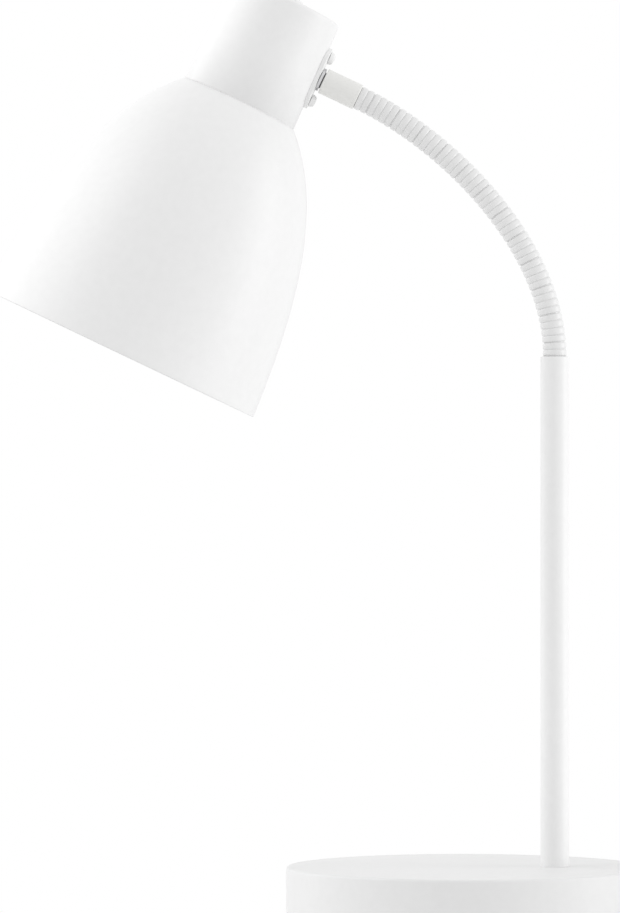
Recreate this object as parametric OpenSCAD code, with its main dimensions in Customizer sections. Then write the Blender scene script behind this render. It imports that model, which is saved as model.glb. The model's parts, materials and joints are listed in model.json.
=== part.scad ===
// Gooseneck desk lamp on a round drum base with a pull-out drawer.
// Millimetres, +Z up. The origin is the middle of the base's underside, on the desk.
// The head reaches towards -X and the drawer opens towards -Y.

/* [Base] */
// Outer radius of the round base
base_r = 81; // [79:0.5:86]
// Height of the base from the desk to its flat top
base_h = 62; // [60:0.5:74]
// Wall thickness of the base's moulded shell
shell_wall = 2.4; // [1.8:0.1:3]
// Thickness of the base's flat top
shell_top = 3; // [2.4:0.1:4]
// Radius of the rounded upper edge
edge_round = 1.25; // [1:0.25:5]
// Thickness of the soft pad under the base
pad_t = 2; // [1:0.25:3]
// Thickness of the bottom cover
cover_t = 3; // [2.5:0.25:4]
// How far the steel weight's edge lies in from the base's side
weight_inset = 14; // [13.5:0.5:21]
// Thickness of the steel weight
weight_t = 12; // [11:0.5:13]
// Thickness of the deck between the weight and the drawer
deck_t = 2; // [1.6:0.1:3]
// Free height above the deck for the wiring
wiring_h = 9; // [8.5:0.25:10]

/* [Drawer] */
// How far the drawer's sides lie in from the base's left and right
drawer_inset = 25; // [24.5:0.5:40]
// How far the tray's back wall lies in from the base's back
drawer_rear = 31; // [29:0.5:34.5]
// Distance from the tray's back to the side stubs that stop the drawer
stub_inset = 3.9; // [3.5:0.1:8]
// Wall thickness of the tray
tray_wall = 1.8; // [1.2:0.1:2.4]
// Thickness of the curved front
front_t = 2.4; // [1.8:0.1:3]
// Gap round the curved front
front_gap = 0.6; // [0.4:0.1:1]
// Radius of the pull knob's head
knob_r = 7.5; // [6:0.25:9]
// How far the pull knob stands out
knob_len = 14; // [11:0.5:18]

/* [Pole and neck] */
// Distance of the pole from the middle of the base
pole_x = 40; // [36:0.5:42]
// Outer radius of the pole
pole_r = 6.5; // [6.3:0.1:8]
// Wall thickness of the pole
pole_wall = 1; // [0.8:0.05:1.2]
// Height of the pole above the base
pole_h = 229.5; // [180:0.5:260]
// Outer radius of the gooseneck's ribs
neck_r = 5.35; // [5.2:0.05:5.7]
// Radius of the bore through the gooseneck
neck_bore = 3.4; // [2.8:0.1:3.6]
// Spacing of the gooseneck's ribs
rib_pitch = 3.2; // [2.8:0.1:3.6]
// Angle that the gooseneck turns through at rest
neck_turn = 64.5; // [40:0.5:80]
// Length of the smooth sleeve at the head's end of the neck
sleeve_len = 17.2; // [14:0.2:22]
// Outer radius of that sleeve
sleeve_r = 5.9; // [5.8:0.1:7]
// Radius of the lamp lead
lead_r = 1.8; // [1.4:0.1:2]

/* [Head] */
// Radius of the cup at its lower edge
cup_r = 27.1; // [26:0.1:30]
// How much narrower the cup is at its top
cup_draft = 1.2; // [0:0.1:2]
// Height of the cup's side above the neck's axis
cup_up = 25.2; // [24.5:0.2:32]
// Depth of the cup's side below the neck's axis
cup_down = 25.6; // [25:0.2:32]
// Rise of the cup's crown
crown_h = 1.6; // [0.6:0.2:2.6]
// Sheet thickness of the cup and of the shade
sheet_t = 0.8; // [0.6:0.05:1]
// Radius of the shade at its open rim
shade_r = 66.5; // [60:0.5:74]
// Height of the shade from the cup to its rim
shade_h = 124.7; // [122:0.5:140]
// Length of the bracket plate along the cup
plate_len = 29; // [27:0.5:34]
// Width of the bracket plate
plate_w = 13; // [11:0.5:14]
// Thickness of the bracket plate
plate_t = 1.7; // [1.2:0.1:2]
// Radius of the lamp bulb's globe
bulb_r = 30; // [24:0.5:32]
// Length of the lamp bulb from its contact to its crown
bulb_len = 106; // [92:0.5:108]
// Travel of the push button
button_travel = 2.5; // [1.5:0.1:3]

/* [Hidden] */
LINKS = 12;                     // joints along the gooseneck
RIBS = 4;                       // ribs on each of its links
$fn = 96;
small_fn = 40;                  // facets of small round parts
slack = 0.3;                    // clearance between parts that slide or drop in
snug = 0.05;                    // radial clearance of a part fitted into a bore
over = 1;                       // how far a cut runs past the face that it opens

// Heights in the base, from the desk up
cover_z = pad_t + cover_t;                          // upper face of the bottom cover
under_top = base_h - shell_top;                     // underside of the base's top
weight_z = under_top - weight_t;                    // underside of the weight
deck_z = weight_z - wiring_h;                       // upper face of the deck
sill_h = 2;                                         // wall below the drawer's opening
lintel_h = 2;                                       // wall between the opening and the deck
open_z0 = cover_z + sill_h;
open_z1 = deck_z - deck_t - lintel_h;
front_z0 = open_z0 + front_gap;
front_z1 = open_z1 - front_gap;
tray_z1 = front_z1 - 0.8;
inner_r = base_r - shell_wall;                      // inside of the shell's wall
weight_r = base_r - weight_inset;
half_w = base_r - drawer_inset;                     // half the drawer's width
drawer_back = base_r - drawer_rear;                 // from the middle to the tray's back

// Screws
screw_r = 1.6;
screw_head_r = 3.2;
screw_head_h = 1.6;
screw_depth = 10;                                   // depth of the screws' blind holes
screw_tip_gap = 1;                                  // between a screw's tip and that depth

// Posts inside the shell, as [x, y]
function polar(r, a) = [r * cos(a), r * sin(a)];
post_r = 4;                                         // posts that take the cover's screws
post_angle = 19.5;
cover_posts = [for (a = [post_angle, 180 - post_angle, 180 + post_angle, -post_angle])
    polar(inner_r - 6.5, a)];
deck_post_r = 3.5;                                  // posts that take the deck's screws
deck_posts = [for (a = [60, 180, 300]) polar(inner_r - 7, a)];
boss_r = 4;                                         // bosses that carry the weight
weight_bosses = [for (a = [140, 200, 300]) polar(weight_r - 17, a)];
weight_screw_head_r = 6;

// Runners
runner_w = 5.4;
runner_h = 14;
runner_x0 = half_w + slack;
runner_x1 = runner_x0 + runner_w;
runner_y = sqrt(pow(inner_r - 1.5, 2) - pow(runner_x1, 2));    // half the runner's length
groove_z = cover_z + 8;                             // lower side of the groove
groove_h = 3.2;
groove_d = 2.2;
groove_end = 2;                                     // closed front end of the groove
foot_w = 5;                                         // foot that is screwed to the cover
foot_t = 2.5;
foot_len = 24;
foot_screw_y = 8;
stub_len = 10;
stub_y = drawer_back - stub_inset - stub_len;       // front of the stub, drawer closed
skid_inset = 16;                                    // skids under the tray, from its side

// Knob and the front's screws
knob_z = (front_z0 + front_z1) / 2;
knob_hole = knob_len / 2;                           // depth of the screw's hole in the knob
front_screw_a = 28;                                 // angle from the knob round the drum
front_screw_gap = 0.6;                              // between a screw's tip and the front's face
tray_r = base_r - front_t - snug;                   // round face of the tray behind the front
// Where a screw's flat head meets the tray's round wall
front_seat = sqrt(pow(tray_r - tray_wall, 2) - pow(screw_head_r, 2));

// Cord gland in the back wall, and the terminal block behind it
gland_z = deck_z + 9;
gland_bore = 3.2;                                   // bore of the outer lip, round the cord
gland_core = 3.7;                                   // wider bore behind the lip
gland_lip_t = 1.8;
gland_body_r = 5.25;
gland_flange_r = 7;
gland_flange_t = 2.2;
gland_barb = 0.9;
gland_lip_y = base_r + gland_flange_t - gland_lip_t;    // inner side of the lip
block_w = 22;
block_d = 13;
block_h = 11;
block_x = -31;                                      // block's left side
block_inset = 25.6;                                 // block's front side from the base's inner wall
block_y = inner_r - block_inset;
notch_gap = 6;                                      // space round the block in the weight
notch_x1 = 13;

// Pole's fixing
pole_seat = 4;                                      // how deep the pole sits in the weight
stud_r = 4.95;
stud_bore = 2.6;
nut_t = 3;
nut_af = 14;                                        // across flats
washer_t = 1;
nut_pocket = nut_t + washer_t + 0.5;
pole_z0 = under_top - pole_seat;
pole_z1 = base_h + pole_h;
pole_in_r = pole_r - pole_wall;
stud_grip = 14;                                     // length of the stud held in the pole

// Gooseneck: straight links whose headings follow one smooth curve
turn_1 = 1.84;                                      // how the turn is shared along the neck
turn_2 = -1.61;
link_len = RIBS * rib_pitch;
link_gap = 1.3;                                     // between the ends of two links
groove_r = neck_r - 0.55;                           // bottom of the grooves between ribs
rib_edge = 0.3;                                     // sloping edge of a rib
rib_gap = 0.3;                                      // flat bottom of a groove
ball_r = 3.9;                                       // ball on the front of each link
socket_r = ball_r + 0.25;
ball_bore = lead_r + 0.8;
plug_r = pole_in_r - 0.15;                          // smooth end that turns in the pole
plug_len = 20;
end_r = groove_r - 0.2;                             // smooth end held in the sleeve
end_len = 6;

function link_name(k) = str("gooseneck_", k < 10 ? "0" : "", k);
function turn_share(t) = t * (turn_1 + t * (turn_2 + t * (1 - turn_1 - turn_2)));
function heading(k) = 90 + neck_turn * turn_share(k / LINKS);
// Joint k as [x, z]; joint 1 is half a link above the pole
function joint_at(k) = k == 1 ? [pole_x, pole_z1 + link_len / 2]
                              : joint_at(k - 1) + polar(link_len, heading(k - 1));
neck_dir = polar(1, heading(LINKS));
neck_end = joint_at(LINKS) + link_len / 2 * neck_dir;

// Head: its frame has +Z up the cup's axis and +X back towards the neck
tilt = 180 - heading(LINKS);
nipple_r = 3.95;
nipple_bore = lead_r + 0.6;
nipple_gap = 1.7;                                   // between the sleeve and the plate
collar_r = 5.4;                                     // collar on the nipple, in that gap
collar_gap = 0.2;
collar_t = 0.9;
cup_corner = 1.8;                                   // radius of the cup's upper edge
corner_z = cup_up - cup_corner * 0.85;              // middle of that radius
// Outer radius of the cup's side at height z
function cup_r_at(z) = cup_r - cup_draft * (z + cup_down) / (corner_z + cup_down);
plate_x = cup_r_at(0) + plate_t;                    // outer face of the bracket plate
crown_top = cup_up + crown_h;
crown_r = cup_r - cup_draft - cup_corner * 0.7;
head_at = neck_end + (sleeve_len + nipple_gap + plate_x) * neck_dir;
crown_sphere = (pow(crown_r, 2) + pow(crown_h, 2)) / (2 * crown_h);
bracket_t = 1.5;                                    // sheet of the inner bracket
bracket_w = 12;
plate_screw_z = plate_len / 2 - 4.1;
plate_head_r = 3;                                   // heads of the plate's two screws
plate_head_h = 2.2;
bracket_z = -(plate_screw_z + 4.5);                 // upper face of the bracket's shelf
leg_up = plate_screw_z + 4;
// Outer radius of the bracket's curved leg at height z
function leg_r_at(z) = cup_r_at(z) - sheet_t - snug;
nut_8_af = 11;                                      // nut on the nipple, across flats
nut_8_t = 4;
nut_8_x = sqrt(pow(leg_r_at(0) - bracket_t, 2) - pow(nut_8_af / sqrt(3), 2)) - snug;

// Lamp holder and bulb, measured along the head's axis
holder_top = bracket_z - bracket_t;
holder_r = 19.8;
holder_flange_r = 22.5;
holder_flange_t = 2;
shade_z = -cup_down;                                // top of the shade
shade_hole_r = holder_r + 0.3;
holder_drop = 22;                                   // how far the holder reaches into the shade
holder_bottom = shade_z - holder_drop;
holder_wall_t = 3;
shell_r = 14;                                       // brass screw shell
shell_t = 0.6;
shell_in = 3;                                       // from the holder's mouth to the shell
shell_gap = 1;                                      // from the shell to the holder's end wall
contact_r = 4;
contact_t = 1.2;
contact_z = holder_top - holder_wall_t;
ring_r = 24;
ring_h = 5;
tip_z = contact_z - contact_t - 0.2;                // contact tip of the bulb
bulb_cap_r = shell_r - shell_t - 0.4;
cap_shoulder = 2.5;
cap_len = 25;
globe_z = tip_z - bulb_len + bulb_r;                // middle of the globe
globe_join = 11;                                    // from the globe's middle to the housing
globe_t = 1.2;
join_r = sqrt(pow(bulb_r, 2) - pow(globe_join, 2));

// Push switch in the middle of the crown
switch_r = 9;
switch_z1 = crown_top - sheet_t - 0.3;              // upper face of the switch's body
switch_h = 18;
bush_r = 4.9;
bush_up = 1.4;                                      // how far the bush stands above the crown
switch_nut_af = 11.5;
switch_nut_t = 1;
button_r = 3.2;
button_up = button_travel + 1;                      // button above the bush at rest
button_flange_r = 4.4;
button_flange_t = 1.5;
chamber_r = 4.7;
spring_wire = 0.35;
spring_turns = 5;
spring_r = 3.2;
flange_z1 = switch_z1 - 2;                          // upper face of the button's flange at rest
chamber_h = button_flange_t + button_travel + 5;
chamber_z = flange_z1 - chamber_h;

// Colours
paint = "#f1f1ee";
ivory = "#efede2";
steel = "#b9bcc0";
dark_steel = "#5b5e63";
brass = "#c9a24a";
plastic = "#e9e9e6";
black = "#2a2a2c";

// ---- Helpers ----

module at_each(places, z = 0) {
    for (p = places) translate([p.x, p.y, z]) children();
}

module disc(r, z0, z1, fn = $fn) {
    translate([0, 0, z0]) cylinder(r = r, h = z1 - z0, $fn = fn);
}

module hex(af, z0, z1) {
    translate([0, 0, z0]) cylinder(r = af / sqrt(3), h = z1 - z0, $fn = 6);
}

// Box between two corners
module block(a, b) {
    translate(a) cube(b - a);
}

// Pan-head screw that points up from z = 0, with its head below
module screw(length, head_r = screw_head_r, head_h = screw_head_h, r = screw_r) {
    rotate_extrude($fn = small_fn)
        polygon([[0, -head_h], [head_r - head_h / 2, -head_h], [head_r, -head_h / 2], [head_r, 0],
                 [r, 0], [r, length - r / 2], [r / 2, length], [0, length]]);
}

// Cross-recess screw, from the same datum
module cross_screw(length, head_r = screw_head_r, head_h = screw_head_h, r = screw_r) {
    arm = head_r * 0.55;
    difference() {
        screw(length, head_r, head_h, r);
        for (a = [0, 90]) rotate([0, 0, a])
            block([-arm, -0.4, -head_h - over], [arm, 0.4, -head_h * 0.45]);
    }
}

// Blind hole for a screw, upwards from z = 0
module screw_hole() {
    disc(screw_r + snug, -over, screw_depth, small_fn);
}

function unit(v) = v / norm(v);
function spread(t) = abs(t.z) < 0.9 ? [0, 0, 1] : [1, 0, 0];
function across(v, t) = unit(v - (v * t) * t);
// Point at share t of the span from b to c, on a curve through a, b, c and d
function span_at(a, b, c, d, t) =
    b + t / 2 * ((c - a) + t * ((2 * a - 5 * b + 4 * c - d) + t * (3 * b - a - 3 * c + d)));
function smooth(p, steps) = let (n = len(p) - 1) concat(
    [for (i = [0:n - 1], s = [0:steps - 1])
        span_at(p[max(i - 1, 0)], p[i], p[i + 1], p[min(i + 2, n)], s / steps)], [p[n]]);
// First sideways direction of each ring, carried along the path without twist
function sides_of(p, tangents) =
    [for (i = 0, u = across(spread(tangents[0]), tangents[0]); i < len(p);
          i = i + 1, u = i < len(p) ? across(u, tangents[i]) : u) u];

// Round tube or wire of radius r swept along the points p
module sweep(p, r, sides = 8) {
    n = len(p);
    tangents = [for (i = [0:n - 1]) unit(p[min(i + 1, n - 1)] - p[max(i - 1, 0)])];
    starts = sides_of(p, tangents);
    rings = [for (i = [0:n - 1], k = [0:sides - 1])
        p[i] + r * (cos(360 * k / sides) * starts[i]
                    + sin(360 * k / sides) * cross(tangents[i], starts[i]))];
    walls = [for (i = [0:n - 2], k = [0:sides - 1])
        let (a = i * sides + k, b = i * sides + (k + 1) % sides)
            for (f = [[a, b + sides, b], [a, a + sides, b + sides]]) f];
    start_cap = [for (k = [1:sides - 2]) [0, k, k + 1]];
    end_cap = [for (k = [1:sides - 2]) [n * sides - sides, n * sides - k, n * sides - k - 1]];
    polyhedron(rings, concat(walls, start_cap, end_cap));
}

// ---- Base ----

module foot_pad() {
    color(black) difference() {
        disc(base_r - 5, 0, pad_t);
        at_each(cover_posts, -over) disc(screw_head_r + 1, 0, pad_t + 2 * over, small_fn);
    }
}

module base_cover() {
    skid_x = half_w - skid_inset;
    color(plastic) difference() {
        union() {
            disc(inner_r - slack, pad_t, cover_z);
            for (s = [-1, 1]) block([s * skid_x - 3, -runner_y, cover_z - cover_t / 2],
                                    [s * skid_x + 3, runner_y, front_z0 - slack]);
        }
        at_each(cover_posts, pad_t - over) disc(screw_r + snug, 0, cover_t + 2 * over, small_fn);
        at_each(foot_screws, pad_t - over) disc(screw_r + snug, 0, cover_t + 2 * over, small_fn);
    }
}

module cover_screws() {
    color(steel) at_each(cover_posts, pad_t) cross_screw(cover_t + screw_depth - screw_tip_gap);
}

module shell_body() {
    rotate_extrude() polygon(concat(
        [[inner_r, pad_t], [base_r, pad_t]],
        [for (a = [0:15:90]) [base_r - edge_round, base_h - edge_round] + polar(edge_round, a)],
        [[0, base_h], [0, under_top], [inner_r, under_top]]));
}

module base_shell() {
    color(paint) difference() {
        union() {
            shell_body();
            at_each(cover_posts) disc(post_r, cover_z, under_top + shell_top / 2, small_fn);
            at_each(deck_posts) disc(deck_post_r, deck_z, under_top + shell_top / 2, small_fn);
            at_each(weight_bosses) disc(boss_r, weight_z + slack, under_top + shell_top / 2, small_fn);
        }
        at_each(cover_posts, cover_z) screw_hole();
        at_each(deck_posts, deck_z) screw_hole();
        at_each(weight_bosses, weight_z) screw_hole();
        block([-half_w - front_gap, -base_r - over, open_z0],
              [half_w + front_gap, -inner_r / 2, open_z1]);
        translate([pole_x, 0, 0]) disc(pole_r + snug, under_top - over, base_h + over);
        translate([0, 0, gland_z]) rotate([-90, 0, 0])
            disc(gland_body_r + snug, inner_r - 3, base_r + over, small_fn);
    }
}

module weight_plate() {
    color(dark_steel) difference() {
        disc(weight_r, weight_z, under_top);
        at_each(weight_bosses) disc(boss_r + slack, weight_z - over, under_top + over, small_fn);
        block([block_x - notch_gap, block_y - notch_gap, weight_z - over],
              [notch_x1, base_r, under_top + over]);
        translate([pole_x, 0, 0]) {
            disc(pole_r + snug, pole_z0, under_top + over);
            disc(stud_r + snug, weight_z - over, pole_z0 + over);
            disc(nut_af / sqrt(3) + 1.5, weight_z - over, weight_z + nut_pocket, small_fn);
        }
    }
}

module weight_screws() {
    color(steel) at_each(weight_bosses, weight_z)
        cross_screw(screw_depth - screw_tip_gap, weight_screw_head_r);
}

module deck_plate() {
    color(plastic) difference() {
        disc(inner_r - slack, deck_z - deck_t, deck_z);
        at_each(cover_posts) disc(post_r + slack, deck_z - deck_t - over, deck_z + over, small_fn);
        at_each(deck_posts) disc(screw_r + snug, deck_z - deck_t - over, deck_z + over, small_fn);
    }
}

module deck_screws() {
    color(steel) at_each(deck_posts, deck_z - deck_t)
        cross_screw(deck_t + screw_depth - screw_tip_gap, head_h = lintel_h - 0.6);
}

foot_screws = [for (sx = [-1, 1], sy = [-1, 1])
    [sx * (runner_x1 + foot_w / 2), sy * foot_screw_y]];

module runner() {
    color(plastic) difference() {
        union() {
            block([runner_x0, -runner_y, cover_z], [runner_x1, runner_y, cover_z + runner_h]);
            block([runner_x1 - 1, -foot_len / 2, cover_z],
                  [runner_x1 + foot_w, foot_len / 2, cover_z + foot_t]);
        }
        block([runner_x0 - over, groove_end - runner_y, groove_z],
              [runner_x0 + groove_d, runner_y + over, groove_z + groove_h]);
        for (s = [-1, 1]) translate([runner_x1 + foot_w / 2, s * foot_screw_y, 0])
            disc(screw_r + snug, cover_z - over, cover_z + foot_t + over, small_fn);
    }
}

module runner_right() { runner(); }
module runner_left() { mirror([1, 0, 0]) runner(); }

module runner_screws() {
    color(steel) at_each(foot_screws, cover_z + foot_t) mirror([0, 0, 1])
        cross_screw(foot_t + cover_t - 0.5, foot_w / 2);
}

// ---- Drawer ----

// What lies inside radius r, between the drawer's sides and in front of y1
module drawer_form(r, w, y1, z0, z1) {
    intersection() {
        disc(r, z0, z1);
        block([-w, -base_r - over, z0 - over], [w, y1, z1 + over]);
    }
}

module on_front(a) {
    translate([0, 0, knob_z]) rotate([0, 0, a]) rotate([90, 0, 0]) children();
}

module drawer_tray() {
    color(plastic) difference() {
        union() {
            drawer_form(tray_r, half_w, drawer_back, front_z0, tray_z1);
            for (s = [-1, 1]) {
                x0 = half_w - tray_wall / 2;
                x1 = runner_x0 + groove_d - slack;
                block([s > 0 ? x0 : -x1, stub_y, groove_z + slack],
                      [s > 0 ? x1 : -x0, stub_y + stub_len, groove_z + groove_h - slack]);
            }
        }
        drawer_form(tray_r - tray_wall, half_w - tray_wall, drawer_back - tray_wall,
                    front_z0 + tray_wall, tray_z1 + over);
        for (a = [-front_screw_a, 0, front_screw_a]) on_front(a)
            disc(screw_r + snug, tray_r - 2 * tray_wall, base_r, small_fn);
    }
}

module drawer_front() {
    color(paint) difference() {
        drawer_form(base_r, half_w, 0, front_z0, front_z1);
        disc(base_r - front_t, front_z0 - over, front_z1 + over);
        for (a = [-front_screw_a, front_screw_a]) on_front(a)
            disc(screw_r + snug, base_r - front_t - over, base_r - front_screw_gap + 0.1, small_fn);
        on_front(0) disc(screw_r + snug, base_r - front_t - over, base_r + over, small_fn);
    }
}

module front_screws() {
    color(steel) for (a = [-front_screw_a, front_screw_a]) on_front(a)
        translate([0, 0, front_seat]) cross_screw(base_r - front_screw_gap - front_seat);
}

module drawer_knob() {
    neck = knob_r * 0.55;
    color(paint) on_front(0) difference() {
        rotate_extrude($fn = small_fn) polygon(concat(
            [[0, base_r], [neck + 1.2, base_r], [neck + 0.3, base_r + 1.5],
             [neck, base_r + knob_len - 7], [knob_r - 0.8, base_r + knob_len - 5]],
            [for (a = [0:18:90]) [knob_r - 1.5, base_r + knob_len - 2.5]
                + [1.5 * cos(a), 1.5 * sin(a)]],
            [[0, base_r + knob_len]]));
        disc(screw_r + snug, base_r - over, base_r + knob_hole, small_fn);
    }
}

module knob_screw() {
    color(steel) on_front(0) translate([0, 0, front_seat])
        cross_screw(base_r + knob_hole - screw_tip_gap - front_seat);
}

// ---- Wiring in the base ----

module cord_gland() {
    color(black) translate([0, 0, gland_z]) rotate([-90, 0, 0]) difference() {
        rotate_extrude($fn = small_fn) polygon([
            [0, inner_r - 4], [gland_body_r - 0.8, inner_r - 4],
            [gland_body_r + gland_barb, inner_r - 1.2], [gland_body_r + gland_barb, inner_r - 0.5],
            [gland_body_r, inner_r - 0.5], [gland_body_r, base_r], [gland_flange_r, base_r],
            [gland_flange_r, base_r + gland_flange_t - 0.8],
            [gland_flange_r - 0.8, base_r + gland_flange_t], [0, base_r + gland_flange_t]]);
        disc(gland_core, inner_r - 4 - over, gland_lip_y, small_fn);
        disc(gland_bore, gland_lip_y - over, base_r + gland_flange_t + over, small_fn);
    }
}

// The block's two ways, and the clamp screws at both ends of each
ways_x = [block_x + block_w * 0.3, block_x + block_w * 0.7];
clamp_screws = [for (x = ways_x, s = [0.25, 0.75]) [x, block_y + block_d * s]];

module terminal_block() {
    color(plastic) difference() {
        block([block_x, block_y, deck_z], [block_x + block_w, block_y + block_d, deck_z + block_h]);
        at_each(clamp_screws) disc(1.7, deck_z + block_h - 5, deck_z + block_h + over, small_fn);
        for (x = ways_x) translate([x, 0, deck_z + block_h / 2]) rotate([-90, 0, 0])
            disc(1.3, block_y - over, block_y + block_d + over, small_fn);
    }
}

module terminal_screws() {
    color(brass) at_each(clamp_screws, deck_z + block_h - 1.5) mirror([0, 0, 1])
        cross_screw(2, 1.6, 0.8, 1.2);
}

// Inner lead from the block, under the weight and up through the pole
lead_bend = 27;                                     // lead's first bend, left of the pole
lead_turn = 14;                                     // second bend, left of the pole and in front
lead_front = 31;                                    // third bend, in front of the block
lead_points = [
    [block_x + block_w + 0.1, block_y + 6.5, deck_z + 5],
    [block_x + block_w + 8, block_y + 6.5, deck_z + 4.6],
    [pole_x - lead_bend, block_y - 1, deck_z + 3.5],
    [pole_x - lead_turn, block_y - lead_turn, deck_z + 3],
    [pole_x - 5, block_y - lead_front, deck_z + 2.6],
    [pole_x - 0.6, 11, deck_z + 2.6],
    [pole_x, 4.5, deck_z + 3.6],
    [pole_x, 0.8, deck_z + 7]];
lead_rise = [for (z = [weight_z + 3, (weight_z + pole_z1) / 2, pole_z1 - plug_len - 0.2])
    [pole_x, 0, z]];

module lead_base() {
    color(plastic) sweep(concat(smooth(concat(lead_points, [lead_rise[0]]), 4),
                                [lead_rise[1], lead_rise[2]]), lead_r);
}

// ---- Pole ----

module on_pole() {
    translate([pole_x, 0, 0]) children();
}

module pole() {
    ledge_z = pole_z1 - plug_len - 0.15;            // step on which the neck's plug turns
    color(paint) on_pole() rotate_extrude() polygon([
        [stud_r + snug, pole_z0], [pole_r, pole_z0],
        [pole_r, pole_z1 - 0.5], [pole_r - 0.5, pole_z1], [pole_in_r, pole_z1],
        [pole_in_r, ledge_z], [neck_bore, ledge_z], [neck_bore, ledge_z - 2],
        [pole_in_r, ledge_z - 3.5], [pole_in_r, pole_z0 + stud_grip],
        [stud_r + snug, pole_z0 + stud_grip]]);
}

module pole_stud() {
    color(steel) on_pole() difference() {
        disc(stud_r, weight_z, pole_z0 + stud_grip, small_fn);
        disc(stud_bore, weight_z - over, pole_z0 + stud_grip + over, small_fn);
    }
}

module pole_washer() {
    color(steel) on_pole() difference() {
        disc(nut_af / sqrt(3) + 1, weight_z + nut_pocket - washer_t, weight_z + nut_pocket, small_fn);
        disc(stud_r + snug, weight_z, weight_z + nut_pocket + over, small_fn);
    }
}

module pole_nut() {
    top = weight_z + nut_pocket - washer_t;
    color(steel) on_pole() difference() {
        hex(nut_af, top - nut_t, top);
        disc(stud_r + snug, weight_z - over, top + over, small_fn);
    }
}

// ---- Gooseneck ----

// Ribs round a bore, on +Z from z0 to z1
module ribbed(z0, z1, ribs, bore = neck_bore) {
    pitch = (z1 - z0) / ribs;
    crest = pitch - rib_gap - 2 * rib_edge;
    rotate_extrude($fn = small_fn) polygon(concat(
        [[bore, z0]],
        [for (i = [0:ribs - 1], q = [[groove_r, 0], [neck_r, rib_edge], [neck_r, rib_edge + crest],
                                     [groove_r, 2 * rib_edge + crest]])
            [q.x, z0 + i * pitch + rib_gap / 2 + q.y]],
        [[groove_r, z1], [bore, z1]]));
}

module ball(z) {
    translate([0, 0, z]) difference() {
        sphere(r = ball_r, $fn = small_fn);
        disc(ball_bore, -ball_r - over, ball_r + over, small_fn);
    }
}

module socketed() {
    difference() {
        children();
        sphere(r = socket_r, $fn = small_fn);
    }
}

// Places a link that starts at joint k and runs on towards the head
module on_joint(k) {
    place = k == 0 ? [pole_x, pole_z1] : joint_at(k);
    translate([place.x, 0, place.y]) rotate([0, 90 - heading(k), 0]) children();
}

module neck_root() {
    on_joint(0) {
        ribbed(slack, link_len / 2 - link_gap / 2, RIBS / 2);
        ball(link_len / 2);
        difference() {
            disc(plug_r, -plug_len, slack * 2, small_fn);
            disc(neck_bore, -plug_len - over, slack * 2 + over, small_fn);
        }
    }
}

module neck_link(k) {
    on_joint(k) union() {
        socketed() ribbed(link_gap / 2, link_len - link_gap / 2, RIBS);
        ball(link_len);
    }
}

module neck_tip() {
    on_joint(LINKS) union() {
        socketed() ribbed(link_gap / 2, link_len / 2, RIBS / 2);
        difference() {
            disc(end_r, link_len / 2 - rib_gap, link_len / 2 + end_len, small_fn);
            disc(neck_bore, link_len / 2 - over, link_len / 2 + end_len + over, small_fn);
        }
    }
}

module gooseneck(k) {
    color(paint)
        if (k == 0) neck_root();
        else if (k == LINKS) neck_tip();
        else neck_link(k);
}

function mid_link(k) = k == 0 ? [pole_x, pole_z1] : joint_at(k) + polar(link_len / 2, heading(k));
lead_run = concat([[pole_x, pole_z1 - plug_len]],
                  [for (k = [0:LINKS - 1]) for (p = [mid_link(k), joint_at(k + 1)]) p],
                  [neck_end, neck_end + end_len * neck_dir]);

module lead_neck() {
    color(plastic) sweep([for (p = lead_run) [p.x, 0, p.y]], lead_r);
}

// ---- Neck's fixing to the head ----

module in_head() {
    translate([head_at.x, 0, head_at.y]) rotate([0, tilt, 0]) children();
}

// +Z runs out along the neck's axis, from the head's axis towards the neck
module on_neck_axis(z = 0) {
    in_head() translate([0, 0, z]) rotate([0, 90, 0]) children();
}

sleeve_x = plate_x + nipple_gap;                    // sleeve's end nearest the head

module neck_sleeve() {
    color(ivory) on_neck_axis() difference() {
        rotate_extrude($fn = small_fn) polygon([
            [0, sleeve_x], [sleeve_r - 0.4, sleeve_x], [sleeve_r, sleeve_x + 0.4],
            [sleeve_r, sleeve_x + sleeve_len - 0.4], [sleeve_r - 0.4, sleeve_x + sleeve_len],
            [0, sleeve_x + sleeve_len]]);
        disc(nipple_r + snug, sleeve_x - over, sleeve_x + sleeve_len + over, small_fn);
        disc(end_r + snug, sleeve_x + sleeve_len - end_len - slack, sleeve_x + sleeve_len + over,
             small_fn);
    }
}

nipple_x0 = nut_8_x - nut_8_t - 1;                  // inner end of the threaded nipple
nipple_x1 = sleeve_x + sleeve_len - end_len - 2 * slack;

module neck_nipple() {
    collar_x = plate_x + collar_gap;
    color(steel) on_neck_axis() difference() {
        union() {
            disc(nipple_r, nipple_x0, nipple_x1, small_fn);
            disc(collar_r, collar_x, collar_x + collar_t, small_fn);
        }
        disc(nipple_bore, nipple_x0 - over, nipple_x1 + over, small_fn);
    }
}

// Ring between two offsets from the cup's outer side
module cup_ring(inner, outer, z0, z1) {
    rotate_extrude() polygon([[cup_r_at(z0) + inner, z0], [cup_r_at(z0) + outer, z0],
                              [cup_r_at(z1) + outer, z1], [cup_r_at(z1) + inner, z1]]);
}

// Upright strip with round ends, on the +X side
module strip(w, z0, z1) {
    rotate([90, 0, 90]) linear_extrude(cup_r + 2 * plate_t) union() {
        for (z = [z0 + w / 2, z1 - w / 2]) translate([0, z]) circle(r = w / 2, $fn = small_fn);
        translate([-w / 2, z0 + w / 2]) square([w, z1 - z0 - w]);
    }
}

// Holes for the two screws and the nipple, through plate, cup and inner bracket
module plate_holes() {
    for (hole = [[-plate_screw_z, screw_r], [0, nipple_r], [plate_screw_z, screw_r]])
        translate([0, 0, hole[0]]) rotate([0, 90, 0])
            disc(hole[1] + snug, nut_8_x - over, plate_x + 2 * over, small_fn);
}

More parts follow.
